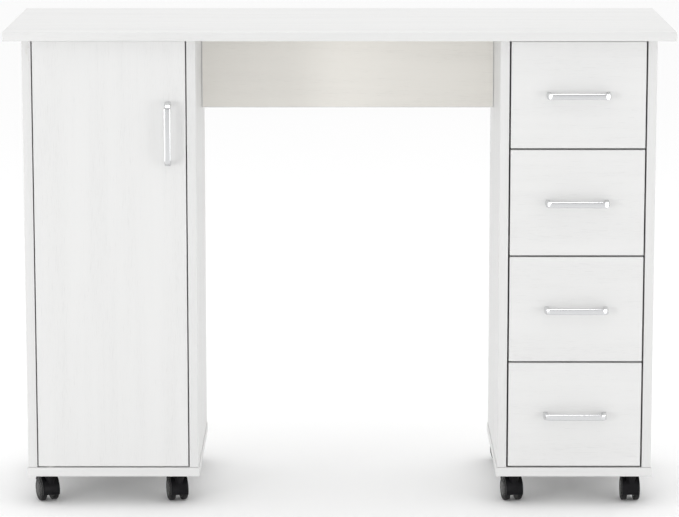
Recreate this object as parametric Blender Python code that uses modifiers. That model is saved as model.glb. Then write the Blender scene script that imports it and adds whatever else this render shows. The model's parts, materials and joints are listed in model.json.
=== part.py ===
"""A rolling sewing and craft desk: a door cabinet on the left, four drawers on the right, eight casters.

The frame: +X is the user's right, +Y is towards the wall, +Z is up. The origin lies on the floor
under the middle of the worktop. All sizes are in metres.

The carcasses are particle board, 15 mm thick, with thin hardboard backs held in grooves. The door
hangs on two hidden pivot pins that run in bushes in the worktop and in the cabinet's bottom. Each
drawer is a front, a three-sided folded wrap, a thin bottom in a groove, a handle, and it runs
between two steel slides. Each caster is a hooded housing with a stem, and a pair of wheels.
"""

import math

import bmesh
import bpy
from mathutils import Matrix, Vector

# ---------------------------------------------------------------- driving sizes

WORKTOP_WIDTH = 1.100
WORKTOP_DEPTH = 0.400
BOARD = 0.015  # thickness of the particle board
CASTER_HEIGHT = 0.051  # floor to the underside of a carcass
OPENING_HEIGHT = 0.719  # between a carcass's bottom and the worktop
CABINET_WIDTH = 0.285
PEDESTAL_WIDTH = 0.257
END_OVERHANG = 0.029  # the worktop's, at each end
FRONT_OVERHANG = 0.020
BACK_OVERHANG = 0.050
BOTTOM_LIP = 0.0015  # how far a carcass's bottom stands proud of its sides and front

SEAT_GAP = 0.0003  # between two pieces that touch
REVEAL = 0.002  # around the door
DRAWER_REVEAL = 0.0028  # around and between the drawer fronts
EDGE_EASE = 0.0005  # the small rounding of a board's edges

HARDBOARD = 0.003
GROOVE_DEPTH = 0.005
BACK_INSET = 0.010  # from the carcass's rear to the back's rear face

MODESTY_HEIGHT = 0.140
MODESTY_SETBACK = 0.222  # from the carcass's front to the panel's face

SHELF_COUNT = 2
SHELF_THICKNESS = 0.012
SHELF_SETBACK = 0.040  # behind the door
SHELF_PLAY = 0.001  # at each end

# The door's pivot
PIN_RADIUS = 0.0025
PIN_FROM_EDGE = 0.020  # from the door's left edge to the pivot
PIN_IN_DOOR = 0.022
PIN_IN_BUSH = 0.007
BUSH_RADIUS = 0.0045
BUSH_DEPTH = 0.0095
BUSH_FLANGE_RADIUS = 0.007
BUSH_FLANGE = 0.0009
RUNNING_GAP = 0.0001  # between a pin and its bush, and an axle and its web

# The magnetic catch
CATCH_SIZE = Vector((0.014, 0.017, 0.044))
STRIKE_SIZE = Vector((0.012, 0.0012, 0.036))
STRIKE_AIR = 0.0006

# The bow handle
HANDLE_LENGTH = 0.105
HANDLE_PROJECTION = 0.024
HANDLE_HEIGHT = 0.010
HANDLE_BAR = 0.0042
HANDLE_FOOT = 0.0075
HANDLE_OUTER_RADIUS = 0.011
HANDLE_INNER_RADIUS = 0.007
HANDLE_EASE = 0.0009
DOOR_HANDLE_DROP = 0.152  # from the door's top edge to the handle's middle
DOOR_HANDLE_FROM_EDGE = 0.029

# The drawers
DRAWER_COUNT = 4
WRAP_THICKNESS = 0.012
WRAP_HEIGHT = 0.120
WRAP_FROM_FRONT_FOOT = 0.012  # the box's underside above the front's lower edge
WRAP_BACK_SPACE = 0.006  # between the closed box and the carcass's back
DRAWER_GROOVE_UP = 0.009  # the groove's underside above the box's underside
SLIDE_SPACE = 0.0127  # between the box and the carcass's side
SLIDE_HEIGHT = 0.018
SLIDE_FLANGE = 0.0092
SLIDE_SHEET = 0.0012
SLIDE_SETBACK = 0.004  # behind the drawer front
SLIDE_BACK_SPACE = 0.048  # between a slide's rear end and the carcass's back
SLIDE_DROP = 0.001  # the slide's underside below the box's underside

# The casters
WHEEL_RADIUS = 0.020
WHEEL_WIDTH = 0.0095
WHEEL_GAP = 0.0120  # between the two wheels
WHEEL_DOME = 0.0012  # how far a wheel's cover stands out at its middle
DOME_SHOULDER = 0.0007  # and half-way to the rim
DOME_CROWN_SHARE = 0.18  # the cover's flat middle, as a share of the tread's radius
TREAD_INNER_SHARE = 0.93  # the wheel's inner edge, as a share of the tread's radius
TREAD_INNER_EASE = 0.0010
TREAD_FLANK = 0.0030  # from the tread's outer end to the wheel's outer face
TREAD_CORNER = (0.0009, 0.0012)
TREAD_FACE_DROP = 0.0036
AXLE_RADIUS = 0.0025
CASTER_TRAIL = 0.017
CASTER_TURNS = (23, 15, 8, 20, 11, 2, 18, 6)  # how far each stands turned, in degrees
CABINET_CASTER_INSET = 0.034  # from a carcass's side to the stem
PEDESTAL_CASTER_INSET = 0.030
CASTER_FRONT_INSET = 0.027
HOOD_WIDTH = 0.0290
HOOD_SHEET = 0.0020
HOOD_AIR = 0.0011  # between the tread and the hood
HOOD_FRONT_DROP = math.radians(17)  # the hood's front edge below the axle
HOOD_REAR_RISE = math.radians(34)  # the hood's rear edge above the axle
HOOD_STEPS = 14
WEB_TUCK = 0.03  # how far the web's ends turn past the hood's, in radians
WEB_HUB_STEPS = 4
TREAD_ROOM_SHARE = 0.02  # of the hood's sheet, left between it and what trims the boss
TREAD_ROOM_STEPS = 48
WEB_AIR = 0.0006  # between a wheel and the web
WEB_HUB = 0.0065
BOSS_RADIUS = 0.0085
BOSS_TIP_RADIUS = 0.0030
BOSS_TAPER_HEIGHT = 0.0070  # of the boss's straight part, above its cone
BOSS_FOOT_SHARE = 0.30  # the cone's tip above the axle, as a share of the wheel's radius
STEM_RADIUS = 0.0040
STEM_LENGTH = 0.0085  # inside the carcass's bottom
STEM_AIR = 0.0004
PLATE_SPACE = 0.0024  # between the boss and the carcass, for the mounting plate
WHEEL_STEPS = 24
ROUND_STEPS = 24
BOSS_STEPS = 20
STEM_STEPS = 16

# ---------------------------------------------------------------- places that follow from them

CARCASS_DEPTH = WORKTOP_DEPTH - FRONT_OVERHANG - BACK_OVERHANG
FRONT_Y = -WORKTOP_DEPTH / 2 + FRONT_OVERHANG
BACK_Y = FRONT_Y + CARCASS_DEPTH
FLOOR_OF_OPENING = CASTER_HEIGHT + BOARD
CEILING_OF_OPENING = FLOOR_OF_OPENING + OPENING_HEIGHT
TOTAL_HEIGHT = CEILING_OF_OPENING + BOARD

CABINET_LEFT = -WORKTOP_WIDTH / 2 + END_OVERHANG
CABINET_RIGHT = CABINET_LEFT + CABINET_WIDTH
PEDESTAL_RIGHT = WORKTOP_WIDTH / 2 - END_OVERHANG
PEDESTAL_LEFT = PEDESTAL_RIGHT - PEDESTAL_WIDTH

BACK_PANEL_Y = BACK_Y - BACK_INSET - HARDBOARD / 2
FRONT_BOARD_BACK_Y = FRONT_Y + BOARD  # the rear face of the door and of the drawer fronts
SLIDE_FRONT_Y = FRONT_BOARD_BACK_Y + SLIDE_SETBACK
SLIDE_LENGTH = BACK_PANEL_Y - HARDBOARD / 2 - SLIDE_BACK_SPACE - SLIDE_FRONT_Y

FRONT_HEIGHT = (OPENING_HEIGHT - (DRAWER_COUNT + 1) * DRAWER_REVEAL) / DRAWER_COUNT
FRONT_PITCH = FRONT_HEIGHT + DRAWER_REVEAL

DOOR_LEFT = CABINET_LEFT + BOARD + REVEAL
DOOR_RIGHT = CABINET_RIGHT - BOARD - REVEAL
DOOR_FOOT = FLOOR_OF_OPENING + REVEAL
DOOR_TOP = CEILING_OF_OPENING - REVEAL
PIVOT = Vector((DOOR_LEFT + PIN_FROM_EDGE, FRONT_Y + BOARD / 2, 0))
DOOR_HANDLE_Z = DOOR_TOP - DOOR_HANDLE_DROP


# ---------------------------------------------------------------- tools

def clear_scene():
    """Removes every object, so that the script starts from an empty scene."""
    for obj in list(bpy.data.objects):
        bpy.data.objects.remove(obj)


def make_collection(name, shown):
    """A collection in the scene. One that isn't shown holds cutters."""
    collection = bpy.data.collections.new(name)
    bpy.context.scene.collection.children.link(collection)
    collection.hide_render = not shown
    return collection


def make_material(name, colour, roughness, metallic=0.0):
    """A plain Principled BSDF."""
    material = bpy.data.materials.new(name)
    material.use_nodes = True
    shader = material.node_tree.nodes["Principled BSDF"]
    shader.inputs["Base Color"].default_value = (*colour, 1.0)
    shader.inputs["Roughness"].default_value = roughness
    shader.inputs["Metallic"].default_value = metallic
    material.diffuse_color = (*colour, 1.0)
    return material


def place(name, mesh, material, location=(0, 0, 0), parent=None, rotation=(0, 0, 0)):
    """A visible piece of the desk. Its mesh may be shared with its copies."""
    obj = bpy.data.objects.new(name, mesh)
    if not mesh.materials:
        mesh.materials.append(material)
    obj.location = location
    obj.rotation_euler = rotation
    obj.parent = parent
    DESK.objects.link(obj)
    return obj


def empty(name, location, parent=None, turn=0.0):
    """An empty on a joint's axis. What moves with the joint is parented to it."""
    obj = bpy.data.objects.new(name, None)
    obj.location = location
    obj.rotation_euler = (0, 0, turn)
    obj.empty_display_size = 0.02
    obj.parent = parent
    DESK.objects.link(obj)
    return obj


def finish_mesh(mesh, smooth_below=None):
    """Smooth shading for round pieces, with edges sharper than the angle left sharp."""
    if smooth_below is not None:
        mesh.shade_smooth()
        mesh.set_sharp_from_angle(angle=math.radians(smooth_below))
    return mesh


def box_mesh(name, size, offset=(0, 0, 0)):
    """A box of this size, with its middle at the offset."""
    bm = bmesh.new()
    bmesh.ops.create_cube(bm, size=1.0)
    bmesh.ops.scale(bm, vec=Vector(size), verts=bm.verts)
    bmesh.ops.translate(bm, vec=Vector(offset), verts=bm.verts)
    mesh = bpy.data.meshes.new(name)
    bm.to_mesh(mesh)
    bm.free()
    return mesh


def cylinder_mesh(name, radius, low, high, steps=ROUND_STEPS):
    """An upright cylinder about the local Z axis, from one height to another."""
    bm = bmesh.new()
    bmesh.ops.create_cone(
        bm, cap_ends=True, segments=steps, radius1=radius, radius2=radius, depth=high - low
    )
    bmesh.ops.translate(bm, vec=(0, 0, (low + high) / 2), verts=bm.verts)
    mesh = bpy.data.meshes.new(name)
    bm.to_mesh(mesh)
    bm.free()
    return mesh


def evaluated_mesh(obj, name, weld=0.0):
    """The object's mesh with its modifiers applied, in the object's own space."""
    bpy.context.view_layer.update()
    graph = bpy.context.evaluated_depsgraph_get()
    mesh = bpy.data.meshes.new_from_object(obj.evaluated_get(graph))
    mesh.name = name
    if weld:
        bm = bmesh.new()
        bm.from_mesh(mesh)
        bmesh.ops.remove_doubles(bm, verts=bm.verts, dist=weld)
        bmesh.ops.recalc_face_normals(bm, faces=bm.faces)
        bm.to_mesh(mesh)
        bm.free()
    return mesh


def outline_mesh(name, points, thickness):
    """A flat outline in the local XY plane, as thick as this about it."""
    curve = bpy.data.curves.new(name, "CURVE")
    curve.dimensions = "2D"
    curve.fill_mode = "BOTH"
    curve.extrude = thickness / 2
    spline = curve.splines.new("POLY")
    spline.points.add(len(points) - 1)
    for point, (x, y) in zip(spline.points, points):
        point.co = (x, y, 0, 1)
    spline.use_cyclic_u = True
    obj = bpy.data.objects.new(name, curve)
    CUTTERS.objects.link(obj)
    mesh = evaluated_mesh(obj, name, weld=1e-6)
    bpy.data.objects.remove(obj)
    return mesh


def arc(centre, radius, start, end, steps):
    """Points along an arc about a centre, both ends included. Angles are in radians."""
    angles = [start + (end - start) * i / steps for i in range(steps + 1)]
    return [
        (centre[0] + radius * math.cos(a), centre[1] + radius * math.sin(a)) for a in angles
    ]


def helper(name, mesh, location=(0, 0, 0), parent=None):
    """A hidden object that a Boolean reads."""
    obj = bpy.data.objects.new(name, mesh)
    obj.location = location
    obj.parent = parent
    obj.hide_render = True
    obj.display_type = "WIRE"
    CUTTERS.objects.link(obj)
    return obj


def boolean(obj, other, operation="DIFFERENCE"):
    """Cuts the other object from this one, or joins it to it."""
    modifier = obj.modifiers.new(operation.title(), "BOOLEAN")
    modifier.operation = operation
    modifier.solver = "EXACT"
    modifier.object = other


def ease_edges(obj, width=EDGE_EASE, segments=1, weld=False):
    """Rounds an object's sharp edges a little."""
    if weld:
        welder = obj.modifiers.new("Weld", "WELD")
        welder.merge_threshold = 1e-6
    modifier = obj.modifiers.new("Ease", "BEVEL")
    modifier.width = width
    modifier.segments = segments
    modifier.limit_method = "ANGLE"
    modifier.angle_limit = math.radians(40)


def board(name, low, high, material, parent=None):
    """A board between two corners, with eased edges. The corners are in the parent's space."""
    low, high = Vector(low), Vector(high)
    obj = place(name, box_mesh(name, high - low), material, (low + high) / 2, parent)
    ease_edges(obj, min(EDGE_EASE, 0.2 * min(high - low)))
    return obj


# ---------------------------------------------------------------- carcasses

def carcass(prefix, left, right, materials, casters):
    """Two sides, a bottom and a back held in grooves. It returns the bottom."""
    low = FLOOR_OF_OPENING + SEAT_GAP
    high = CEILING_OF_OPENING - SEAT_GAP
    cutter = helper(
        f"{prefix}_back_groove",
        box_mesh(
            "groove",
            (
                right - left - 2 * BOARD + 2 * GROOVE_DEPTH,
                HARDBOARD + 2 * SEAT_GAP,
                2 * OPENING_HEIGHT,
            ),
        ),
        ((left + right) / 2, BACK_PANEL_Y, (low + high) / 2),
    )
    for side, x in (("left", left), ("right", right - BOARD)):
        panel = board(
            f"{prefix}_side_{side}", (x, FRONT_Y, low), (x + BOARD, BACK_Y, high), materials["white"]
        )
        boolean(panel, cutter)

    bottom = board(
        f"{prefix}_bottom",
        (left - BOTTOM_LIP, FRONT_Y - BOTTOM_LIP, CASTER_HEIGHT),
        (right + BOTTOM_LIP, BACK_Y, FLOOR_OF_OPENING),
        materials["white"],
    )
    for index, (x, y) in enumerate(casters):
        socket = cylinder_mesh(
            "socket", STEM_RADIUS + STEM_AIR, -STEM_LENGTH, STEM_LENGTH + STEM_AIR
        )
        boolean(bottom, helper(f"{prefix}_socket_{index}", socket, (x, y, CASTER_HEIGHT)))

    play = GROOVE_DEPTH - SEAT_GAP
    board(
        f"{prefix}_back",
        (left + BOARD - play, BACK_PANEL_Y - HARDBOARD / 2, low),
        (right - BOARD + play, BACK_PANEL_Y + HARDBOARD / 2, high),
        materials["hardboard"],
    )
    return bottom


def shelves(materials):
    """Shelves that divide the cabinet evenly."""
    clear = OPENING_HEIGHT - SHELF_COUNT * SHELF_THICKNESS
    for index in range(SHELF_COUNT):
        low = FLOOR_OF_OPENING + (index + 1) * clear / (SHELF_COUNT + 1) + index * SHELF_THICKNESS
        board(
            f"cabinet_shelf_{index + 1}",
            (CABINET_LEFT + BOARD + SHELF_PLAY, FRONT_BOARD_BACK_Y + SHELF_SETBACK, low),
            (
                CABINET_RIGHT - BOARD - SHELF_PLAY,
                BACK_PANEL_Y - HARDBOARD / 2 - SHELF_PLAY,
                low + SHELF_THICKNESS,
            ),
            materials["white"],
        )


def modesty_panel(materials):
    """The cross panel between the two carcasses, close under the worktop."""
    board(
        "modesty_panel",
        (
            CABINET_RIGHT + SEAT_GAP,
            FRONT_Y + MODESTY_SETBACK,
            CEILING_OF_OPENING - MODESTY_HEIGHT,
        ),
        (
            PEDESTAL_LEFT - SEAT_GAP,
            FRONT_Y + MODESTY_SETBACK + BOARD,
            CEILING_OF_OPENING - SEAT_GAP,
        ),
        materials["white"],
    )


# ---------------------------------------------------------------- handles

def handle_mesh():
    """The bow handle in plan: two thick feet, round corners and a straight bar, along local X.

    Its feet stand on local Y = 0 and its bar is at -Y.
    """
    half = HANDLE_LENGTH / 2
    front = -HANDLE_PROJECTION
    outer = HANDLE_OUTER_RADIUS
    inner = HANDLE_INNER_RADIUS
    foot = half - HANDLE_FOOT
    bar = front + HANDLE_BAR
    steps = 6
    quarter = math.pi / 2
    points = [(-half, 0)]
    points += arc((-half + outer, front + outer), outer, 2 * quarter, 3 * quarter, steps)
    points += arc((half - outer, front + outer), outer, -quarter, 0, steps)
    points += [(half, 0), (foot, 0)]
    points += arc((foot - inner, bar + inner), inner, 0, -quarter, steps)
    points += arc((-foot + inner, bar + inner), inner, 3 * quarter, 2 * quarter, steps)
    points += [(-foot, 0)]
    flat = place("handle_blank", outline_mesh("bow_handle", points, HANDLE_HEIGHT), CHROME_STAND_IN)
    ease_edges(flat, HANDLE_EASE, weld=True)
    mesh = evaluated_mesh(flat, "bow_handle")
    bpy.data.objects.remove(flat)
    return finish_mesh(mesh, 50)


# ---------------------------------------------------------------- door

def pin_mesh(name, tip_up):
    """A pivot pin about the local origin, which is at the door's edge. It points up or down."""
    reach = REVEAL + PIN_IN_BUSH
    if tip_up:
        return finish_mesh(cylinder_mesh(name, PIN_RADIUS, -PIN_IN_DOOR, reach), 50)
    return finish_mesh(cylinder_mesh(name, PIN_RADIUS, -reach, PIN_IN_DOOR), 50)


def bush_mesh(name, mouth_up):
    """A flanged bush about the local origin, which is on the board's face. Its mouth faces the door."""
    bore = PIN_RADIUS + RUNNING_GAP
    sign = 1 if mouth_up else -1
    floor = -sign * BUSH_DEPTH
    profile = [
        (bore, sign * BUSH_FLANGE),
        (BUSH_FLANGE_RADIUS, sign * BUSH_FLANGE),
        (BUSH_FLANGE_RADIUS, sign * SEAT_GAP),
        (BUSH_RADIUS, sign * SEAT_GAP),
        (BUSH_RADIUS, floor),
        (bore, floor),
    ]
    return turned_mesh(name, profile)


def turned_mesh(name, profile, steps=ROUND_STEPS):
    """A loop of (radius, height) points turned about the local Z axis."""
    count = len(profile)
    edges = [(i, (i + 1) % count) for i in range(count)]
    mesh = bpy.data.meshes.new(name + "_profile")
    mesh.from_pydata([(r, 0, z) for r, z in profile], edges, [])
    obj = bpy.data.objects.new(name, mesh)
    CUTTERS.objects.link(obj)
    screw = obj.modifiers.new("Turn", "SCREW")
    screw.axis = "Z"
    screw.steps = steps
    screw.render_steps = steps
    screw.use_merge_vertices = True
    screw.merge_threshold = 1e-5
    made = evaluated_mesh(obj, name, weld=1e-6)
    bpy.data.objects.remove(obj)
    return finish_mesh(made, 50)


def door(materials, handle, worktop, cabinet_bottom):
    """The door, its pins, its handle and strike, and the bushes and catch that it meets."""
    axis = empty("door_axis", PIVOT)
    low = Vector((DOOR_LEFT, FRONT_Y, DOOR_FOOT)) - PIVOT
    high = Vector((DOOR_RIGHT, FRONT_BOARD_BACK_Y, DOOR_TOP)) - PIVOT
    panel = board("door_panel", low, high, materials["white"], axis)

    hole = PIN_RADIUS + SEAT_GAP
    for end, edge, tip_up in (("upper", DOOR_TOP, True), ("lower", DOOR_FOOT, False)):
        into = -1 if tip_up else 1
        deep = sorted((-into * REVEAL, into * (PIN_IN_DOOR + SEAT_GAP)))
        drilled = helper(
            f"door_pin_hole_{end}", cylinder_mesh("hole", hole, *deep), (0, 0, edge), axis
        )
        boolean(panel, drilled)
        place(f"door_pin_{end}", pin_mesh(f"pin_{end}", tip_up), materials["steel"], (0, 0, edge), axis)

    for end, face, mouth_up, holder in (
        ("upper", CEILING_OF_OPENING, False, worktop),
        ("lower", FLOOR_OF_OPENING, True, cabinet_bottom),
    ):
        sign = 1 if mouth_up else -1
        deep = sorted((sign * BUSH_DEPTH, -sign * (BUSH_DEPTH + SEAT_GAP)))
        seat = cylinder_mesh("bush_seat", BUSH_RADIUS + SEAT_GAP, *deep)
        boolean(holder, helper(f"door_bush_seat_{end}", seat, (PIVOT.x, PIVOT.y, face)))
        place(
            f"door_bush_{end}",
            bush_mesh(f"bush_{end}", mouth_up),
            materials["nylon"],
            (PIVOT.x, PIVOT.y, face),
        )

    place(
        "door_handle",
        handle,
        materials["chrome"],
        Vector((DOOR_RIGHT - DOOR_HANDLE_FROM_EDGE, FRONT_Y - SEAT_GAP, DOOR_HANDLE_Z)) - PIVOT,
        axis,
        (0, math.pi / 2, 0),
    )

    strike_y = FRONT_BOARD_BACK_Y + SEAT_GAP
    inner_face = CABINET_RIGHT - BOARD - SEAT_GAP
    catch_x = inner_face - CATCH_SIZE.x / 2
    strike = board(
        "door_strike",
        Vector((catch_x - STRIKE_SIZE.x / 2, strike_y, DOOR_HANDLE_Z - STRIKE_SIZE.z / 2)) - PIVOT,
        Vector(
            (catch_x + STRIKE_SIZE.x / 2, strike_y + STRIKE_SIZE.y, DOOR_HANDLE_Z + STRIKE_SIZE.z / 2)
        )
        - PIVOT,
        materials["steel"],
        axis,
    )
    strike.modifiers["Ease"].width = EDGE_EASE / 2
    catch_y = strike_y + STRIKE_SIZE.y + STRIKE_AIR
    board(
        "door_catch",
        (inner_face - CATCH_SIZE.x, catch_y, DOOR_HANDLE_Z - CATCH_SIZE.z / 2),
        (inner_face, catch_y + CATCH_SIZE.y, DOOR_HANDLE_Z + CATCH_SIZE.z / 2),
        materials["nylon"],
    )


# ---------------------------------------------------------------- drawers

def drawer_shapes(materials):
    """The meshes that all drawers share, each about the drawer's own origin.

    That origin is the middle of the front's lower edge, on the carcass's front plane.
    """
    width = PEDESTAL_WIDTH - 2 * BOARD - 2 * SLIDE_SPACE
    front_width = PEDESTAL_WIDTH - 2 * BOARD - 2 * DRAWER_REVEAL
    start = BOARD + SEAT_GAP
    end = BACK_PANEL_Y - HARDBOARD / 2 - WRAP_BACK_SPACE - FRONT_Y
    foot = WRAP_FROM_FRONT_FOOT
    head = foot + WRAP_HEIGHT

    inner = width / 2 - WRAP_THICKNESS
    half = width / 2
    u_shape = [
        (-half, start),
        (-inner, start),
        (-inner, end - WRAP_THICKNESS),
        (inner, end - WRAP_THICKNESS),
        (inner, start),
        (half, start),
        (half, end),
        (-half, end),
    ]
    wrap = place("wrap_blank", outline_mesh("drawer_wrap", u_shape, WRAP_HEIGHT), materials["wrap"])
    wrap.data.transform(Matrix.Translation((0, 0, (foot + head) / 2)))
    ease_edges(wrap, EDGE_EASE, weld=True)

    front = place(
        "front_blank",
        box_mesh(
            "drawer_front",
            (front_width, BOARD, FRONT_HEIGHT),
            (0, BOARD / 2, FRONT_HEIGHT / 2),
        ),
        materials["white"],
    )
    ease_edges(front)

    reach = GROOVE_DEPTH - SEAT_GAP
    low = Vector((-inner - reach, BOARD - reach, foot + DRAWER_GROOVE_UP))
    high = Vector((inner + reach, end - WRAP_THICKNESS + reach, low.z + HARDBOARD))
    margin = Vector((SEAT_GAP, SEAT_GAP, SEAT_GAP))
    groove = helper(
        "drawer_groove",
        box_mesh("groove", high - low + 2 * margin, (low + high) / 2),
    )
    boolean(wrap, groove)
    boolean(front, groove)
    bottom_mesh = box_mesh("drawer_bottom", high - low, (low + high) / 2)
    shapes = {
        "wrap": evaluated_mesh(wrap, "drawer_wrap"),
        "front": evaluated_mesh(front, "drawer_front"),
        "bottom": bottom_mesh,
    }
    for blank in (wrap, front, groove):
        bpy.data.objects.remove(blank)
    return shapes


def slide_mesh(name, direction):
    """The carcass half of a slide: a channel along +Y whose web is at local X = 0.

    It opens towards +X when the direction is 1 and towards -X when it is -1.
    """
    sheet = SLIDE_SHEET
    channel = [
        (0, 0),
        (SLIDE_FLANGE, 0),
        (SLIDE_FLANGE, sheet),
        (sheet, sheet),
        (sheet, SLIDE_HEIGHT - sheet),
        (SLIDE_FLANGE, SLIDE_HEIGHT - sheet),
        (SLIDE_FLANGE, SLIDE_HEIGHT),
        (0, SLIDE_HEIGHT),
    ]
    mesh = outline_mesh(name, [(direction * x, z) for x, z in channel], SLIDE_LENGTH)
    # The outline's own XY plane becomes XZ, and its thickness runs along Y.
    mesh.transform(Matrix.Rotation(math.pi / 2, 4, "X"))
    mesh.transform(Matrix.Translation((0, SLIDE_LENGTH / 2, 0)))
    return mesh


def drawers(materials, handle):
    """Four drawers, numbered from the top, and the slides that carry them."""
    shapes = drawer_shapes(materials)
    middle = (PEDESTAL_LEFT + PEDESTAL_RIGHT) / 2
    left_slide = slide_mesh("slide_left", 1)
    right_slide = slide_mesh("slide_right", -1)
    for index in range(DRAWER_COUNT):
        name = f"drawer_{index + 1}"
        foot = CEILING_OF_OPENING - (index + 1) * FRONT_PITCH
        origin = empty(f"{name}_origin", (middle, FRONT_Y, foot))
        place(f"{name}_front", shapes["front"], materials["white"], parent=origin)
        place(f"{name}_wrap", shapes["wrap"], materials["wrap"], parent=origin)
        place(f"{name}_bottom", shapes["bottom"], materials["hardboard"], parent=origin)
        place(
            f"{name}_handle",
            handle,
            materials["chrome"],
            (0, -SEAT_GAP, FRONT_HEIGHT / 2),
            origin,
        )
        slide_z = foot + WRAP_FROM_FRONT_FOOT - SLIDE_DROP
        place(
            f"{name}_slide_left",
            left_slide,
            materials["powder"],
            (PEDESTAL_LEFT + BOARD + SEAT_GAP, SLIDE_FRONT_Y, slide_z),
        )
        place(
            f"{name}_slide_right",
            right_slide,
            materials["powder"],
            (PEDESTAL_RIGHT - BOARD - SEAT_GAP, SLIDE_FRONT_Y, slide_z),
        )


# ---------------------------------------------------------------- casters

def wheels_mesh():
    """Two wheels and the axle that joins them, turned about the local X axis.

    The profile starts half a step from straight down, so that a flat of the tread meets the floor.
    """
    inner = WHEEL_GAP / 2
    outer = inner + WHEEL_WIDTH
    tread = WHEEL_RADIUS / math.cos(math.pi / WHEEL_STEPS)
    half = [
        (0.0, AXLE_RADIUS),
        (inner, AXLE_RADIUS),
        (inner, TREAD_INNER_SHARE * tread),
        (inner + TREAD_INNER_EASE, tread),
        (outer - TREAD_FLANK, tread),
        (outer - TREAD_CORNER[0], tread - TREAD_CORNER[1]),
        (outer, tread - TREAD_FACE_DROP),
        (outer + DOME_SHOULDER, tread / 2),
        (outer + WHEEL_DOME, DOME_CROWN_SHARE * tread),
        (outer + WHEEL_DOME, 0.0),
    ]
    profile = [(-x, r) for x, r in reversed(half[1:])] + half
    lean = math.pi / WHEEL_STEPS
    mesh = bpy.data.meshes.new("wheels_profile")
    mesh.from_pydata(
        [(x, r * math.sin(lean), -r * math.cos(lean)) for x, r in profile],
        [(i, i + 1) for i in range(len(profile) - 1)],
        [],
    )
    obj = bpy.data.objects.new("wheels", mesh)
    CUTTERS.objects.link(obj)
    screw = obj.modifiers.new("Turn", "SCREW")
    screw.axis = "X"
    screw.steps = WHEEL_STEPS
    screw.render_steps = WHEEL_STEPS
    screw.use_merge_vertices = True
    screw.merge_threshold = 1e-5
    screw.use_normal_calculate = True
    made = evaluated_mesh(obj, "caster_wheels", weld=1e-6)
    bpy.data.objects.remove(obj)
    return finish_mesh(made, 40)


def side_outline(name, points, width):
    """An outline seen from the side, in (trail, height), as wide as this along X."""
    mesh = outline_mesh(name, points, width)
    mesh.transform(Matrix(((0, 0, 1, 0), (1, 0, 0, 0), (0, 1, 0, 0), (0, 0, 0, 1))))
    return mesh


def housing_mesh(materials):
    """The hood over the wheels, the web between them, the boss and the stem, as one moulding.

    The local origin is on the floor under the stem, and the axle is behind it, at +Y.
    """
    axle = (CASTER_TRAIL, WHEEL_RADIUS)
    inside = WHEEL_RADIUS / math.cos(math.pi / WHEEL_STEPS) + HOOD_AIR
    outside = inside + HOOD_SHEET
    front = math.pi + HOOD_FRONT_DROP
    rear = HOOD_REAR_RISE

    hood = arc(axle, outside, front, rear, HOOD_STEPS)
    hood += arc(axle, inside, rear, front, HOOD_STEPS)
    shell = helper("hood_shell", side_outline("hood_shell", hood, HOOD_WIDTH))

    # The web starts and ends inside the hood's sheet, and runs tangent to its own hub.
    web_width = WHEEL_GAP - 2 * WEB_AIR
    middle = (inside + outside) / 2
    tangent = math.acos(WEB_HUB / middle)
    web_front = front - WEB_TUCK
    web_rear = rear + WEB_TUCK
    web_points = arc(axle, middle, web_front, web_rear, HOOD_STEPS)
    hub_end = web_front + tangent - math.tau
    web_points += arc(axle, WEB_HUB, web_rear - tangent, hub_end, WEB_HUB_STEPS)
    web = place("housing_blank", side_outline("housing", web_points, web_width), materials["black"])

    boss_top = CASTER_HEIGHT - PLATE_SPACE
    boss_foot = WHEEL_RADIUS + BOSS_FOOT_SHARE * WHEEL_RADIUS
    boss_profile = [
        (0.0, boss_foot),
        (BOSS_TIP_RADIUS, boss_foot),
        (BOSS_RADIUS, boss_top - BOSS_TAPER_HEIGHT),
        (BOSS_RADIUS, boss_top),
        (0.0, boss_top),
    ]
    boss = helper("boss", turned_mesh("boss", boss_profile, BOSS_STEPS))
    stem = helper(
        "stem",
        cylinder_mesh(
            "stem", STEM_RADIUS, boss_top - STEM_RADIUS, CASTER_HEIGHT + STEM_LENGTH, STEM_STEPS
        ),
    )
    room_radius = inside - TREAD_ROOM_SHARE * HOOD_SHEET
    tread_room = cylinder_mesh("tread_room", room_radius, -HOOD_WIDTH, HOOD_WIDTH, TREAD_ROOM_STEPS)
    tread_room.transform(Matrix.Rotation(math.pi / 2, 4, "Y"))
    wheel_room = []
    for sign in (-1, 1):
        room = helper(
            f"wheel_room_{sign}",
            tread_room.copy(),
            (sign * (web_width / 2 + HOOD_WIDTH), axle[0], axle[1]),
        )
        wheel_room.append(room)
    axle_hole = cylinder_mesh("axle_hole", AXLE_RADIUS + RUNNING_GAP, -HOOD_WIDTH, HOOD_WIDTH)
    axle_hole.transform(Matrix.Rotation(math.pi / 2, 4, "Y"))
    axle_helper = helper("axle_hole", axle_hole, (0, axle[0], axle[1]))

    # The boss is trimmed to the hood before the two are joined, so that it stays off the wheels.
    boss_blank = place("boss_blank", boss.data, materials["black"])
    for room in wheel_room:
        boolean(boss_blank, room)
    trimmed = helper("boss_trimmed", evaluated_mesh(boss_blank, "boss_trimmed"))

    boolean(web, shell, "UNION")
    boolean(web, trimmed, "UNION")
    boolean(web, stem, "UNION")
    boolean(web, axle_helper)
    mesh = evaluated_mesh(web, "caster_housing")
    for obj in (web, shell, boss, stem, axle_helper, boss_blank, trimmed, *wheel_room):
        bpy.data.objects.remove(obj)
    return finish_mesh(mesh, 40)


def caster_spots(left, right, inset):
    """Where the four stems of a carcass stand, front ones first."""
    rows = (FRONT_Y + CASTER_FRONT_INSET, BACK_Y - CASTER_FRONT_INSET)
    return [(x, y) for y in rows for x in (left + inset, right - inset)]


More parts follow.
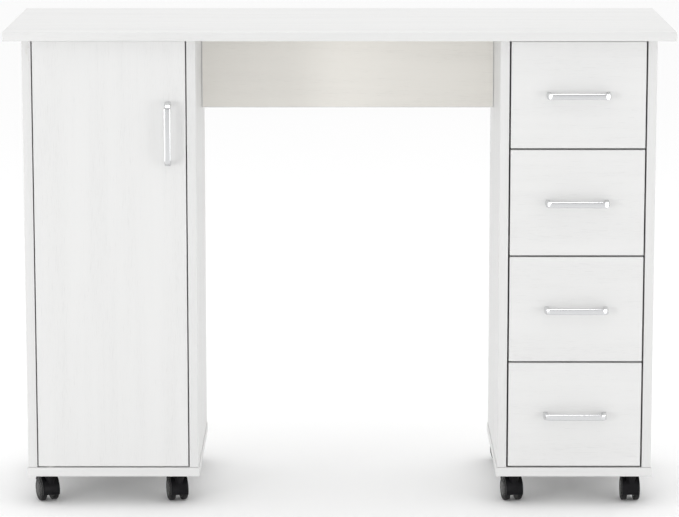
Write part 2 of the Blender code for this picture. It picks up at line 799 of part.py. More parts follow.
def casters(spots, materials):
    """A housing and a pair of wheels at each spot, each trailing its own way."""
    housing = housing_mesh(materials)
    wheels = wheels_mesh()
    for index, (x, y) in enumerate(spots):
        name = f"caster_{index + 1}"
        swivel = empty(f"{name}_swivel", (x, y, 0), turn=math.radians(CASTER_TURNS[index]))
        place(f"{name}_housing", housing, materials["black"], parent=swivel)
        axle = empty(f"{name}_axle", (0, CASTER_TRAIL, WHEEL_RADIUS), swivel)
        place(f"{name}_wheels", wheels, materials["tread"], parent=axle)


# ---------------------------------------------------------------- the desk

clear_scene()
DESK = make_collection("sewing_desk", shown=True)
CUTTERS = make_collection("cutters", shown=False)
MATERIALS = {
    "white": make_material("white_melamine", (0.86, 0.86, 0.85), 0.45),
    "wrap": make_material("white_wrap", (0.82, 0.82, 0.81), 0.5),
    "hardboard": make_material("white_hardboard", (0.80, 0.80, 0.79), 0.55),
    "chrome": make_material("chrome", (0.75, 0.75, 0.76), 0.18, 1.0),
    "steel": make_material("steel", (0.60, 0.60, 0.60), 0.35, 1.0),
    "powder": make_material("white_powder_coat", (0.84, 0.84, 0.83), 0.4),
    "nylon": make_material("white_nylon", (0.80, 0.80, 0.78), 0.5),
    "black": make_material("black_nylon", (0.015, 0.015, 0.016), 0.4),
    "tread": make_material("black_wheel", (0.02, 0.02, 0.02), 0.5),
}
CHROME_STAND_IN = MATERIALS["chrome"]

CABINET_CASTERS = caster_spots(CABINET_LEFT, CABINET_RIGHT, CABINET_CASTER_INSET)
PEDESTAL_CASTERS = caster_spots(PEDESTAL_LEFT, PEDESTAL_RIGHT, PEDESTAL_CASTER_INSET)

top = board(
    "worktop",
    (-WORKTOP_WIDTH / 2, -WORKTOP_DEPTH / 2, CEILING_OF_OPENING),
    (WORKTOP_WIDTH / 2, WORKTOP_DEPTH / 2, TOTAL_HEIGHT),
    MATERIALS["white"],
)
floor_board = carcass("cabinet", CABINET_LEFT, CABINET_RIGHT, MATERIALS, CABINET_CASTERS)
carcass("pedestal", PEDESTAL_LEFT, PEDESTAL_RIGHT, MATERIALS, PEDESTAL_CASTERS)
shelves(MATERIALS)
modesty_panel(MATERIALS)

bow_handle = handle_mesh()
door(MATERIALS, bow_handle, top, floor_board)
drawers(MATERIALS, bow_handle)
casters(CABINET_CASTERS + PEDESTAL_CASTERS, MATERIALS)
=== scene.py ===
"""The looks of a rolling sewing desk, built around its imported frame.

The desk is white melamine board with a faint embossed grain, bright plated bow handles, white
powder-coated drawer slides and black twin-wheel casters. Each sub-assembly is a class that builds
its own pieces and dresses them, and each finish is a frozen dataclass that makes its own material.
All sizes are in metres, +Z is up, and the user sits on the -Y side.
"""

import json
import logging
import math
from contextlib import contextmanager
from dataclasses import dataclass, field
from enum import Enum
from functools import wraps
from typing import Callable, Iterator, Sequence

import bmesh
import bpy
from mathutils import Matrix, Vector


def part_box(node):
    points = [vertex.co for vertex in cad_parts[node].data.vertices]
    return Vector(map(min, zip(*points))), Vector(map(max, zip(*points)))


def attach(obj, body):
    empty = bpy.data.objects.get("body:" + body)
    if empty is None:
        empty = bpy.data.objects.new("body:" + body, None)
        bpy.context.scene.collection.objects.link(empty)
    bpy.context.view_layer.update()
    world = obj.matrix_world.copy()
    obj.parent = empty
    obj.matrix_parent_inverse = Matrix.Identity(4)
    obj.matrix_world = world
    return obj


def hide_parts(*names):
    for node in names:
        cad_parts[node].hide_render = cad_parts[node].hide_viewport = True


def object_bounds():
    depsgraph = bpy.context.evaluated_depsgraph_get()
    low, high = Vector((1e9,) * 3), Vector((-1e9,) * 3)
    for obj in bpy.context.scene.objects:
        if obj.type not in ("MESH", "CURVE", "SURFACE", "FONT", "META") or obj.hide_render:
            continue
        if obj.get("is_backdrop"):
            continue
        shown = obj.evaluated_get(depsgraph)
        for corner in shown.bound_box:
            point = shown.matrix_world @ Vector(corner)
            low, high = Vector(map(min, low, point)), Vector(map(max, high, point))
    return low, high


LOG = logging.getLogger("sewing_desk")
MM = 0.001
CLEAR = 0.0003  # between two pieces that touch

Colour = tuple[float, float, float]
Sizes = tuple[float, float, float]
FaceTest = Callable[[Vector, Vector], bool]
EdgeTest = Callable[[Vector, Vector], bool]
Sockets = bpy.types.bpy_prop_collection


class Axis(Enum):
    """A direction of the desk: along the worktop, towards the wall, or up."""

    X = 0
    Y = 1
    Z = 2

    @property
    def vector(self) -> Vector:
        """The unit vector along this axis."""
        return Vector([1.0 if i == self.value else 0.0 for i in range(3)])


# ---------------------------------------------------------------- shader graphs


class Graph:
    """A node tree, with short ways to add nodes and to join them."""

    def __init__(self, tree: bpy.types.NodeTree) -> None:
        """Takes the tree that nodes are added to."""
        self.tree = tree

    def node(self, kind: str, **settings: object) -> bpy.types.Node:
        """Adds a node.

        Args:
            kind: The node's type, without its ShaderNode prefix.
            settings: Properties to set on it.

        Returns:
            The new node.
        """
        made = self.tree.nodes.new("ShaderNode" + kind)
        for name, value in settings.items():
            setattr(made, name, value)
        return made

    def feed(self, socket: bpy.types.NodeSocket, value: object) -> None:
        """Joins a socket to an input, or sets the input to a constant.

        Args:
            socket: The input.
            value: A socket, a number or a colour.
        """
        if isinstance(value, bpy.types.NodeSocket):
            self.tree.links.new(value, socket)
        else:
            socket.default_value = value

    def math(self, operation: str, *values: object, clamp: bool = False) -> bpy.types.NodeSocket:
        """A Math node on sockets or numbers.

        Args:
            operation: The node's operation.
            values: One to three inputs.
            clamp: Whether the result stays between 0 and 1.

        Returns:
            The result's socket.
        """
        made = self.node("Math", operation=operation, use_clamp=clamp)
        for socket, value in zip(made.inputs, values):
            self.feed(socket, value)
        return made.outputs[0]

    def scaled(self, vector: object, factors: Sequence[float]) -> bpy.types.NodeSocket:
        """A vector multiplied by a factor along each axis."""
        made = self.node("VectorMath", operation="MULTIPLY")
        self.feed(made.inputs[0], vector)
        self.feed(made.inputs[1], tuple(factors))
        return made.outputs[0]

    def noise(
        self, vector: object, scale: object, detail: float = 2.0, rough: float = 0.5
    ) -> bpy.types.NodeSocket:
        """A Noise texture.

        Args:
            vector: Where it is read.
            scale: How many features there are in a metre.
            detail: How many octaves it has.
            rough: How strong its finer octaves are.

        Returns:
            The texture's value, around one half.
        """
        made = self.node("TexNoise")
        self.feed(made.inputs["Vector"], vector)
        self.feed(made.inputs["Scale"], scale)
        made.inputs["Detail"].default_value = detail
        made.inputs["Roughness"].default_value = rough
        return made.outputs["Fac"]

    def remap(
        self, value: object, low: float, high: float, start: float = 0.0, end: float = 1.0
    ) -> bpy.types.NodeSocket:
        """A value taken smoothly from one range to another, and held inside the second.

        Args:
            value: A number or a socket.
            low: The first range's start.
            high: The first range's end.
            start: What the first range's start becomes.
            end: What its end becomes.

        Returns:
            The result's socket.
        """
        made = self.node("MapRange", interpolation_type="SMOOTHSTEP")
        for socket, given in zip(made.inputs, (value, low, high, start, end)):
            self.feed(socket, given)
        return made.outputs["Result"]

    def blend(self, factor: object, first: object, second: object) -> bpy.types.NodeSocket:
        """A mix of two colours.

        Args:
            factor: How much of the second shows.
            first: A colour or a socket.
            second: A colour or a socket.

        Returns:
            The mixed colour's socket.
        """
        made = self.node("Mix", data_type="RGBA")
        colours = [value for value in made.inputs if value.type == "RGBA"]
        self.feed(made.inputs[0], factor)
        for socket, value in zip(colours, (first, second)):
            self.feed(socket, (*value, 1.0) if isinstance(value, tuple) else value)
        return next(value for value in made.outputs if value.type == "RGBA")

    def group(self, tree: bpy.types.NodeTree, **values: object) -> bpy.types.Node:
        """Places a shared group, with its own values.

        Args:
            tree: The group.
            values: The group's inputs by name, in which an underscore stands for a space.

        Returns:
            The group's node.
        """
        made = self.node("Group", node_tree=tree)
        for name, value in values.items():
            self.feed(made.inputs[name.replace("_", " ")], value)
        return made


GroupStart = tuple[bpy.types.NodeTree, Graph, Sockets, Sockets]
GroupMaker = Callable[[type, str], bpy.types.NodeTree]


def built_once(make: GroupMaker) -> Callable[[type], bpy.types.NodeTree]:
    """Makes a node group the first time only, and names it after the method that makes it.

    Args:
        make: The method, which takes the group's name.

    Returns:
        The method without the name, which gives back the group if there is one.
    """

    @wraps(make)
    def found_or_made(cls: type) -> bpy.types.NodeTree:
        """The group, from Blender's list if it is there."""
        return bpy.data.node_groups.get(make.__name__) or make(cls, make.__name__)

    return found_or_made


class Effects:
    """The shader node groups that several finishes share."""

    @staticmethod
    def _start(name: str, inputs: dict[str, object], outputs: dict[str, str]) -> GroupStart:
        """Makes an empty group with named sockets.

        Args:
            name: The group's name.
            inputs: Each input's default: a number, or None for a vector.
            outputs: Each output's kind of socket.

        Returns:
            The tree, its graph, the sockets that it is given and the sockets that it fills.
        """
        tree = bpy.data.node_groups.new(name, "ShaderNodeTree")
        for label, value in inputs.items():
            kind = "NodeSocketVector" if value is None else "NodeSocketFloat"
            socket = tree.interface.new_socket(label, in_out="INPUT", socket_type=kind)
            if value is not None:
                socket.default_value = value
        for label, kind in outputs.items():
            tree.interface.new_socket(label, in_out="OUTPUT", socket_type=kind)
        graph = Graph(tree)
        start = tree.nodes.new("NodeGroupInput")
        end = tree.nodes.new("NodeGroupOutput")
        return tree, graph, start.outputs, end.inputs

    @classmethod
    @built_once
    def embossed_grain(cls, name: str) -> bpy.types.NodeTree:
        """Pores and figure pressed into a board's paper. The vector's X runs along the grain."""
        tree, graph, given, result = cls._start(
            name,
            {"Vector": None, "Pore Cover": 0.5},
            {"Pores": "NodeSocketFloat", "Figure": "NodeSocketFloat", "Relief": "NodeSocketFloat"},
        )
        drift = graph.noise(graph.scaled(given["Vector"], (1.6, 5.0, 5.0)), 1.0, 2.0)
        bend = graph.math("MULTIPLY", graph.math("SUBTRACT", drift, 0.5), 0.030)
        shift = graph.node("CombineXYZ")
        graph.feed(shift.inputs["Y"], bend)
        graph.feed(shift.inputs["Z"], bend)
        warped = graph.node("VectorMath", operation="ADD")
        graph.feed(warped.inputs[0], given["Vector"])
        graph.feed(warped.inputs[1], shift.outputs[0])
        figure = graph.noise(graph.scaled(warped.outputs[0], (2.0, 42.0, 42.0)), 1.0, 4.0, 0.6)
        fine = graph.noise(graph.scaled(warped.outputs[0], (40.0, 1300.0, 1300.0)), 1.0, 3.0, 0.6)
        threshold = graph.math("SUBTRACT", 0.78, graph.math("MULTIPLY", given["Pore Cover"], 0.3))
        centred = graph.math("SUBTRACT", figure, 0.5)
        favoured = graph.math("ADD", fine, graph.math("MULTIPLY", centred, 0.35))
        above = graph.math("SUBTRACT", favoured, threshold)
        pores = graph.remap(above, 0.0, 0.09)
        relief = graph.math("SUBTRACT", graph.math("MULTIPLY", figure, 0.45), pores)
        graph.feed(result["Pores"], pores)
        graph.feed(result["Figure"], graph.remap(figure, 0.3, 0.7))
        graph.feed(result["Relief"], relief)
        return tree

    @classmethod
    @built_once
    def edge_wear(cls, name: str) -> bpy.types.NodeTree:
        """Rubbed places along the rounded edges, where a mesh's rim attribute is one."""
        tree, graph, given, result = cls._start(
            name,
            {"Vector": None, "Rim": 0.0, "Amount": 0.5, "Scale": 30.0},
            {"Mask": "NodeSocketFloat"},
        )
        patches = graph.noise(given["Vector"], given["Scale"], 5.0, 0.65)
        reach = graph.math("SUBTRACT", 0.86, graph.math("MULTIPLY", given["Amount"], 0.4))
        above = graph.math("SUBTRACT", patches, reach)
        rubbed = graph.remap(above, 0.0, 0.12)
        graph.feed(result["Mask"], graph.math("MULTIPLY", rubbed, given["Rim"], clamp=True))
        return tree

    @classmethod
    @built_once
    def settled_dust(cls, name: str) -> bpy.types.NodeTree:
        """A thin film on what faces up."""
        tree, graph, given, result = cls._start(
            name, {"Vector": None, "Amount": 0.3}, {"Mask": "NodeSocketFloat"}
        )
        surface = graph.node("NewGeometry")
        parts = graph.node("SeparateXYZ")
        graph.feed(parts.inputs[0], surface.outputs["Normal"])
        upward = graph.remap(parts.outputs["Z"], 0.35, 0.95)
        clouds = graph.noise(given["Vector"], 38.0, 6.0, 0.7)
        film = graph.math("MULTIPLY", upward, graph.remap(clouds, 0.3, 0.8))
        graph.feed(result["Mask"], graph.math("MULTIPLY", film, given["Amount"], clamp=True))
        return tree

    @classmethod
    @built_once
    def handling(cls, name: str) -> bpy.types.NodeTree:
        """Faint wiped streaks and finger marks, which change only the gloss."""
        tree, graph, given, result = cls._start(
            name, {"Vector": None, "Base": 0.4, "Spread": 0.1}, {"Roughness": "NodeSocketFloat"}
        )
        wiped = graph.noise(graph.scaled(given["Vector"], (3.0, 3.0, 9.0)), 2.2, 3.0, 0.55)
        marks = graph.noise(given["Vector"], 55.0, 4.0, 0.6)
        most, rest = graph.math("MULTIPLY", wiped, 0.7), graph.math("MULTIPLY", marks, 0.3)
        both = graph.math("ADD", most, rest)
        offset = graph.math("MULTIPLY", graph.math("SUBTRACT", both, 0.5), given["Spread"])
        graph.feed(result["Roughness"], graph.math("ADD", given["Base"], offset, clamp=True))
        return tree

    @classmethod
    @built_once
    def moulded_grain(cls, name: str) -> bpy.types.NodeTree:
        """The fine eroded texture that a steel mould leaves on plastic."""
        tree, graph, given, result = cls._start(
            name,
            {"Vector": None, "Scale": 2600.0},
            {"Relief": "NodeSocketFloat", "Tone": "NodeSocketFloat"},
        )
        fine = graph.noise(given["Vector"], given["Scale"], 2.0, 0.5)
        broad = graph.noise(given["Vector"], 90.0, 3.0, 0.5)
        graph.feed(result["Relief"], fine)
        graph.feed(result["Tone"], broad)
        return tree

    @classmethod
    @built_once
    def drawn_lines(cls, name: str) -> bpy.types.NodeTree:
        """Hair-thin polishing lines. The vector's X runs along them."""
        tree, graph, given, result = cls._start(
            name, {"Vector": None, "Fineness": 1.0}, {"Lines": "NodeSocketFloat"}
        )
        stretched = graph.scaled(given["Vector"], (25.0, 2400.0, 2400.0))
        lines = graph.noise(stretched, given["Fineness"], 3.0, 0.7)
        graph.feed(result["Lines"], lines)
        return tree


# ---------------------------------------------------------------- finishes


@dataclass(frozen=True)
class Finish:
    """What a surface is made of. Its material is made the first time that it is asked for.

    Its name differs from the frame's own plain materials, which have the names of the slots.
    """

    name: str
    slot: str
    colour: Colour
    roughness: float
    specular: float = field(default=0.5, kw_only=True)

    def material(self) -> bpy.types.Material:
        """The finish's material, in Blender's list."""
        found = bpy.data.materials.get(self.name)
        if found is not None:
            return found
        made = bpy.data.materials.new(self.name)
        made.use_nodes = True
        shader = made.node_tree.nodes["Principled BSDF"]
        shader.inputs["Base Color"].default_value = (*self.colour, 1.0)
        shader.inputs["Roughness"].default_value = self.roughness
        shader.inputs["Specular IOR Level"].default_value = self.specular
        made.diffuse_color = (*self.colour, 1.0)
        self.shade(Graph(made.node_tree), shader)
        return made

    def shade(self, graph: Graph, shader: bpy.types.Node) -> None:
        """Adds the finish's own nodes. Each kind of finish has its own."""
        raise NotImplementedError

    @staticmethod
    def place(graph: Graph, along: Axis = Axis.X) -> bpy.types.NodeSocket:
        """Object coordinates, turned so that their X runs along an axis of the desk."""
        turns = {Axis.X: (0, 0, 0), Axis.Y: (0, 0, -math.pi / 2), Axis.Z: (0, math.pi / 2, 0)}
        mapping = graph.node("Mapping")
        mapping.inputs["Rotation"].default_value = turns[along]
        graph.feed(mapping.inputs["Vector"], graph.node("TexCoord").outputs["Object"])
        return mapping.outputs[0]

    @staticmethod
    def emboss(
        graph: Graph, shader: bpy.types.Node, relief: object, depth: float, strength: float = 1.0
    ) -> None:
        """Presses a relief into the surface.

        Args:
            graph: The material's graph.
            shader: Its Principled BSDF.
            relief: The height's socket.
            depth: The height of a relief of one, in metres.
            strength: How much of it the light sees.
        """
        bump = graph.node("Bump")
        bump.inputs["Distance"].default_value = depth
        bump.inputs["Strength"].default_value = strength
        graph.feed(bump.inputs["Height"], relief)
        graph.feed(shader.inputs["Normal"], bump.outputs["Normal"])


@dataclass(frozen=True)
class Melamine(Finish):
    """Melamine paper pressed on particle board, with a faint grain."""

    grain: Axis = Axis.X
    worn: Colour = (0.60, 0.57, 0.52)
    wear: float = 0.35
    dust: Colour = (0.70, 0.69, 0.67)
    pore_cover: float = 0.62
    figure_shade: float = 0.955
    pore_shade: float = 0.80
    relief: float = 0.09 * MM

    def shade(self, graph: Graph, shader: bpy.types.Node) -> None:
        """Grain in the colour, the gloss and the relief, and wear on the rounded edges."""
        place = self.place(graph, self.grain)
        grain = graph.group(Effects.embossed_grain(), Vector=place, Pore_Cover=self.pore_cover)
        deep = tuple(self.figure_shade * value for value in self.colour)
        pale = graph.blend(graph.math("MULTIPLY", grain.outputs["Figure"], 0.50), self.colour, deep)
        pored = tuple(self.pore_shade * value for value in self.colour)
        inked = graph.blend(graph.math("MULTIPLY", grain.outputs["Pores"], 0.30), pale, pored)
        rim = graph.node("Attribute", attribute_name="rim")
        wear = graph.group(
            Effects.edge_wear(), Vector=place, Rim=rim.outputs["Fac"], Amount=self.wear
        )
        worn = graph.blend(graph.math("MULTIPLY", wear.outputs["Mask"], 0.5), inked, self.worn)
        dust = graph.group(Effects.settled_dust(), Vector=place, Amount=0.05)
        graph.feed(shader.inputs["Base Color"], graph.blend(dust.outputs["Mask"], worn, self.dust))
        gloss = graph.group(Effects.handling(), Vector=place, Base=self.roughness, Spread=0.16)
        dulled = graph.math("MULTIPLY", grain.outputs["Pores"], 0.18)
        rough = graph.math("ADD", gloss.outputs["Roughness"], dulled, clamp=True)
        graph.feed(shader.inputs["Roughness"], rough)
        self.emboss(graph, shader, grain.outputs["Relief"], self.relief, 0.55)


@dataclass(frozen=True)
class Paper(Finish):
    """A plain printed or lacquered skin, on drawer wraps and on hardboard."""

    mottle: float = 0.03
    fibre: float = 0.03 * MM
    dust: Colour = (0.68, 0.67, 0.65)

    def shade(self, graph: Graph, shader: bpy.types.Node) -> None:
        """Soft mottling, a fibrous relief and a little dust."""
        place = self.place(graph)
        cloud = graph.noise(place, 120.0, 5.0, 0.65)
        deep = tuple((1.0 - 2.0 * self.mottle) * value for value in self.colour)
        mottled = graph.blend(graph.remap(cloud, 0.35, 0.7), self.colour, deep)
        dust = graph.group(Effects.settled_dust(), Vector=place, Amount=0.10)
        dusted = graph.blend(dust.outputs["Mask"], mottled, self.dust)
        graph.feed(shader.inputs["Base Color"], dusted)
        gloss = graph.group(Effects.handling(), Vector=place, Base=self.roughness, Spread=0.12)
        graph.feed(shader.inputs["Roughness"], gloss.outputs["Roughness"])
        self.emboss(graph, shader, graph.noise(place, 900.0, 4.0, 0.6), self.fibre)


@dataclass(frozen=True)
class Plated(Finish):
    """Plated metal: bright on the handles, duller on screws and pins."""

    lines: float = 0.04
    along: Axis = Axis.X
    stain: Colour = (0.52, 0.50, 0.48)
    line_depth: float = 0.006 * MM

    def shade(self, graph: Graph, shader: bpy.types.Node) -> None:
        """Polishing lines, finger marks and a little staining."""
        shader.inputs["Metallic"].default_value = 1.0
        place = self.place(graph, self.along)
        drawn = graph.group(Effects.drawn_lines(), Vector=place)
        stains = graph.remap(graph.noise(place, 160.0, 5.0, 0.7), 0.60, 0.80)
        stained = graph.blend(graph.math("MULTIPLY", stains, 0.25), self.colour, self.stain)
        graph.feed(shader.inputs["Base Color"], stained)
        gloss = graph.group(Effects.handling(), Vector=place, Base=self.roughness, Spread=0.14)
        centred = graph.math("SUBTRACT", drawn.outputs["Lines"], 0.5)
        lined = graph.math("MULTIPLY", centred, self.lines * 2.0)
        rough = graph.math("ADD", gloss.outputs["Roughness"], lined, clamp=True)
        graph.feed(shader.inputs["Roughness"], rough)
        self.emboss(graph, shader, drawn.outputs["Lines"], self.line_depth, 0.5)


@dataclass(frozen=True)
class PowderCoat(Finish):
    """Baked powder on steel, with its orange peel."""

    peel_depth: float = 0.05 * MM
    coat: float = 0.15
    dust: Colour = (0.55, 0.54, 0.52)

    def shade(self, graph: Graph, shader: bpy.types.Node) -> None:
        """Orange peel in the relief, and dust on what faces up."""
        place = self.place(graph)
        peel = graph.noise(place, 700.0, 2.0, 0.45)
        dust = graph.group(Effects.settled_dust(), Vector=place, Amount=0.22)
        dusted = graph.blend(dust.outputs["Mask"], self.colour, self.dust)
        graph.feed(shader.inputs["Base Color"], dusted)
        gloss = graph.group(Effects.handling(), Vector=place, Base=self.roughness, Spread=0.12)
        graph.feed(shader.inputs["Roughness"], gloss.outputs["Roughness"])
        shader.inputs["Coat Weight"].default_value = self.coat
        self.emboss(graph, shader, peel, self.peel_depth, 0.6)


@dataclass(frozen=True)
class Moulded(Finish):
    """Injection-moulded plastic, with the mould's texture."""

    texture: float = 2600.0
    depth: float = 0.03 * MM
    dusty: float = 0.12
    dust: Colour = (0.42, 0.41, 0.39)

    def shade(self, graph: Graph, shader: bpy.types.Node) -> None:
        """Mould texture, slow changes of tone, and dust on what faces up."""
        place = self.place(graph)
        grain = graph.group(Effects.moulded_grain(), Vector=place, Scale=self.texture)
        lighter = tuple(min(1.0, 1.35 * value + 0.002) for value in self.colour)
        toned = graph.blend(graph.remap(grain.outputs["Tone"], 0.35, 0.7), self.colour, lighter)
        dust = graph.group(Effects.settled_dust(), Vector=place, Amount=self.dusty)
        graph.feed(shader.inputs["Base Color"], graph.blend(dust.outputs["Mask"], toned, self.dust))
        gloss = graph.group(Effects.handling(), Vector=place, Base=self.roughness, Spread=0.20)
        graph.feed(shader.inputs["Roughness"], gloss.outputs["Roughness"])
        self.emboss(graph, shader, grain.outputs["Relief"], self.depth, 0.7)


@dataclass(frozen=True)
class Tread(Finish):
    """The running surface of a wheel: scuffed round its middle, with floor dust pressed in."""

    scuffed: Colour = (0.045, 0.044, 0.042)
    scuff_depth: float = 0.04 * MM

    def shade(self, graph: Graph, shader: bpy.types.Node) -> None:
        """Scuffs and dust over moulded plastic."""
        place = self.place(graph)
        scuffs = graph.remap(graph.noise(place, 420.0, 6.0, 0.75), 0.48, 0.72)
        graph.feed(
            shader.inputs["Base Color"],
            graph.blend(graph.math("MULTIPLY", scuffs, 0.6), self.colour, self.scuffed),
        )
        rough = graph.math("ADD", graph.math("MULTIPLY", scuffs, 0.22), self.roughness, clamp=True)
        graph.feed(shader.inputs["Roughness"], rough)
        self.emboss(graph, shader, graph.noise(place, 1500.0, 3.0, 0.6), self.scuff_depth, 0.8)


WHITE: Colour = (0.735, 0.735, 0.73)
BOARD_FINISH = {
    axis: Melamine(f"white_melamine_{axis.name.lower()}", "white_melamine", WHITE, 0.46, grain=axis)
    for axis in Axis
}
BAND_FINISH = {
    axis: Melamine(
        f"white_edge_band_{axis.name.lower()}",
        "white_melamine",
        (0.715, 0.715, 0.71),
        0.38,
        grain=axis,
        wear=0.55,
    )
    for axis in Axis
}
# Painted light: the modesty panel is the same white melamine as the other boards, painted brighter
# to lift the shade under the worktop, and warm for the warm light reflected there.
PANEL_PAINTED_LIGHT_FINISH = Melamine("warm_white_panel", "white_melamine", (0.835, 0.813, 0.766), 0.46)
WRAP_FINISH = Paper("white_foil_wrap", "white_wrap", (0.71, 0.71, 0.70), 0.50)
HARDBOARD_FINISH = Paper(
    "white_lacquered_hardboard", "white_hardboard", (0.70, 0.70, 0.69), 0.55, 0.012
)
CHROME_FINISH = {
    axis: Plated(
        f"bright_chrome_{axis.name.lower()}", "chrome", (0.66, 0.665, 0.675), 0.16, 0.03, axis
    )
    for axis in (Axis.X, Axis.Z)
}
ZINC_FINISH = Plated("zinc_plate", "steel", (0.62, 0.62, 0.61), 0.34, 0.10)
POWDER_FINISH = PowderCoat("baked_white_powder", "white_powder_coat", (0.72, 0.72, 0.71), 0.38)
WHITE_NYLON_FINISH = Moulded(
    "white_nylon_moulding", "white_nylon", (0.69, 0.69, 0.67), 0.44, dust=(0.6, 0.59, 0.57)
)
BLACK_NYLON_FINISH = Moulded(
    "black_nylon_moulding",
    "black_nylon",
    (0.0050, 0.0047, 0.0058),
    0.36,
    dusty=0.008,
    specular=0.12,
)
HUB_FINISH = Moulded(
    "black_hub_disc",
    "black_wheel",
    (0.018, 0.018, 0.017),
    0.30,
    depth=0.02 * MM,
    dusty=0.04,
    specular=0.25,
)
TREAD_FINISH = Tread("black_tread", "black_wheel", (0.008, 0.008, 0.0085), 0.40, specular=0.25)


# ---------------------------------------------------------------- the bench


def set_down() -> None:
    """Leaves edit mode and selects nothing, so that an operator acts only on its own piece."""
    if bpy.context.mode != "OBJECT":
        bpy.ops.object.mode_set(mode="OBJECT")
    bpy.ops.object.select_all(action="DESELECT")


class Workpiece:
    """A piece on the bench: a primitive that edit-mode operators shape until it is finished."""

    def __init__(self, obj: bpy.types.Object) -> None:
        """Takes the object that is shaped."""
        self.obj = obj

    # ---- starts

    @classmethod
    def _started(cls, name: str) -> "Workpiece":
        """Names the primitive that was just added, and puts its place into its mesh."""
        piece = cls(bpy.context.view_layer.objects.active)
        piece.obj.name = name
        piece.obj.data.name = name
        bpy.ops.object.transform_apply(location=True, rotation=True, scale=True)
        return piece

    @classmethod
    def block(cls, name: str, low: Sequence[float], high: Sequence[float]) -> "Workpiece":
        """A cube stretched between two corners.

        Args:
            name: The piece's name.
            low: Its lowest corner.
            high: Its highest corner.

        Returns:
            The piece.
        """
        low, high = Vector(low), Vector(high)
        set_down()
        bpy.ops.mesh.primitive_cube_add(size=1.0, location=(low + high) / 2, scale=high - low)
        return cls._started(name)

    @classmethod
    def rod(
        cls, name: str, radius: float, start: Vector, end: Vector, sides: int = 32
    ) -> "Workpiece":
        """A cylinder between two points.

        Args:
            name: The piece's name.
            radius: The cylinder's radius.
            start: The middle of one end.
            end: The middle of the other.
            sides: How many flats it has.

        Returns:
            The piece.
        """
        start, end = Vector(start), Vector(end)
        set_down()
        turn = (end - start).to_track_quat("Z", "Y").to_euler()
        bpy.ops.mesh.primitive_cylinder_add(
            vertices=sides,
            radius=radius,
            depth=(end - start).length,
            location=(start + end) / 2,
            rotation=turn,
        )
        return cls._started(name)

    @classmethod
    def _chain(cls, name: str, points: Sequence[Vector], closed: bool) -> "Workpiece":
        """A chain of edges: a plane merged to one vertex, which is extruded from point to point.

        Args:
            name: The piece's name.
            points: The chain's points.
            closed: Whether the last point is joined to the first.

        Returns:
            The chain.
        """
        set_down()
        bpy.ops.mesh.primitive_plane_add(size=MM, location=points[0])
        piece = cls._started(name)
        with piece.editing("VERT"):
            bpy.ops.mesh.select_all(action="SELECT")
            bpy.ops.mesh.merge(type="CENTER")
            for here, there in zip(points, points[1:]):
                bpy.ops.mesh.extrude_vertices_move(TRANSFORM_OT_translate={"value": there - here})
            if closed:
                bpy.ops.mesh.select_all(action="SELECT")
                bpy.ops.mesh.edge_face_add()
        return piece

    @classmethod
    def plate(cls, name: str, points: Sequence[Vector], sweep: Vector) -> "Workpiece":
        """A flat outline, filled and extruded.

        Args:
            name: The piece's name.
            points: The outline's corners, in order.
            sweep: How far and which way it is extruded.

        Returns:
            The piece.
        """
        piece = cls._chain(name, points, closed=True)
        with piece.editing("FACE"):
            bpy.ops.mesh.select_all(action="SELECT")
            bpy.ops.mesh.extrude_region_move(TRANSFORM_OT_translate={"value": sweep})
            piece.outwards()
        return piece

    @classmethod
    def turned(
        cls,
        name: str,
        profile: Sequence[tuple[float, float]],
        centre: Vector,
        axis: Vector,
        steps: int = 48,
    ) -> "Workpiece":
        """A profile spun right round an axis.

        Args:
            name: The piece's name.
            profile: Points of (radius, distance along the axis).
            centre: A point on the axis, from which distances are measured.
            axis: The axis's direction.
            steps: How many steps a turn takes.

        Returns:
            The piece.
        """
        axis, side = axis.normalized(), axis.orthogonal().normalized()
        points = [centre + side * radius + axis * along for radius, along in profile]
        piece = cls._chain(name, points, closed=False)
        with piece.editing("VERT"):
            bpy.ops.mesh.select_all(action="SELECT")
            bpy.ops.mesh.spin(
                steps=steps, angle=math.tau, center=centre, axis=axis, use_auto_merge=True
            )
            bpy.ops.mesh.select_all(action="SELECT")
            bpy.ops.mesh.remove_doubles(threshold=1e-6)
            piece.outwards()
        return piece

    @classmethod
    def swept(
        cls,
        name: str,
        section: Sequence[Vector],
        centre: Vector,
        axis: Vector,
        angle: float,
        steps: int,
    ) -> "Workpiece":
        """A closed section spun part of the way round an axis, and capped.

        Args:
            name: The piece's name.
            section: The section's corners at the start.
            centre: A point on the axis.
            axis: The axis's direction.
            angle: How far it is spun, in radians.
            steps: How many steps that takes.

        Returns:
            The piece.
        """
        piece = cls._chain(name, [*section, section[0]], closed=False)
        with piece.editing("VERT"):
            bpy.ops.mesh.select_all(action="SELECT")
            bpy.ops.mesh.remove_doubles(threshold=1e-6)
            bpy.ops.mesh.spin(
                steps=steps, angle=angle, center=centre, axis=axis, use_auto_merge=False
            )
            bpy.ops.mesh.select_all(action="SELECT")
            bpy.ops.mesh.fill_holes(sides=0)
            piece.outwards()
        return piece

    # ---- shaping

    @contextmanager
    def editing(self, mode: str = "FACE") -> Iterator[None]:
        """Edit mode on this piece alone, with nothing selected at first."""
        set_down()
        bpy.context.view_layer.objects.active = self.obj
        self.obj.select_set(True)
        bpy.ops.object.mode_set(mode="EDIT")
        bpy.ops.mesh.select_mode(type=mode)
        bpy.ops.mesh.select_all(action="DESELECT")
        yield
        bpy.ops.object.mode_set(mode="OBJECT")

    @staticmethod
    def outwards() -> None:
        """Turns every face outwards, in edit mode."""
        bpy.ops.mesh.select_all(action="SELECT")
        bpy.ops.mesh.normals_make_consistent(inside=False)

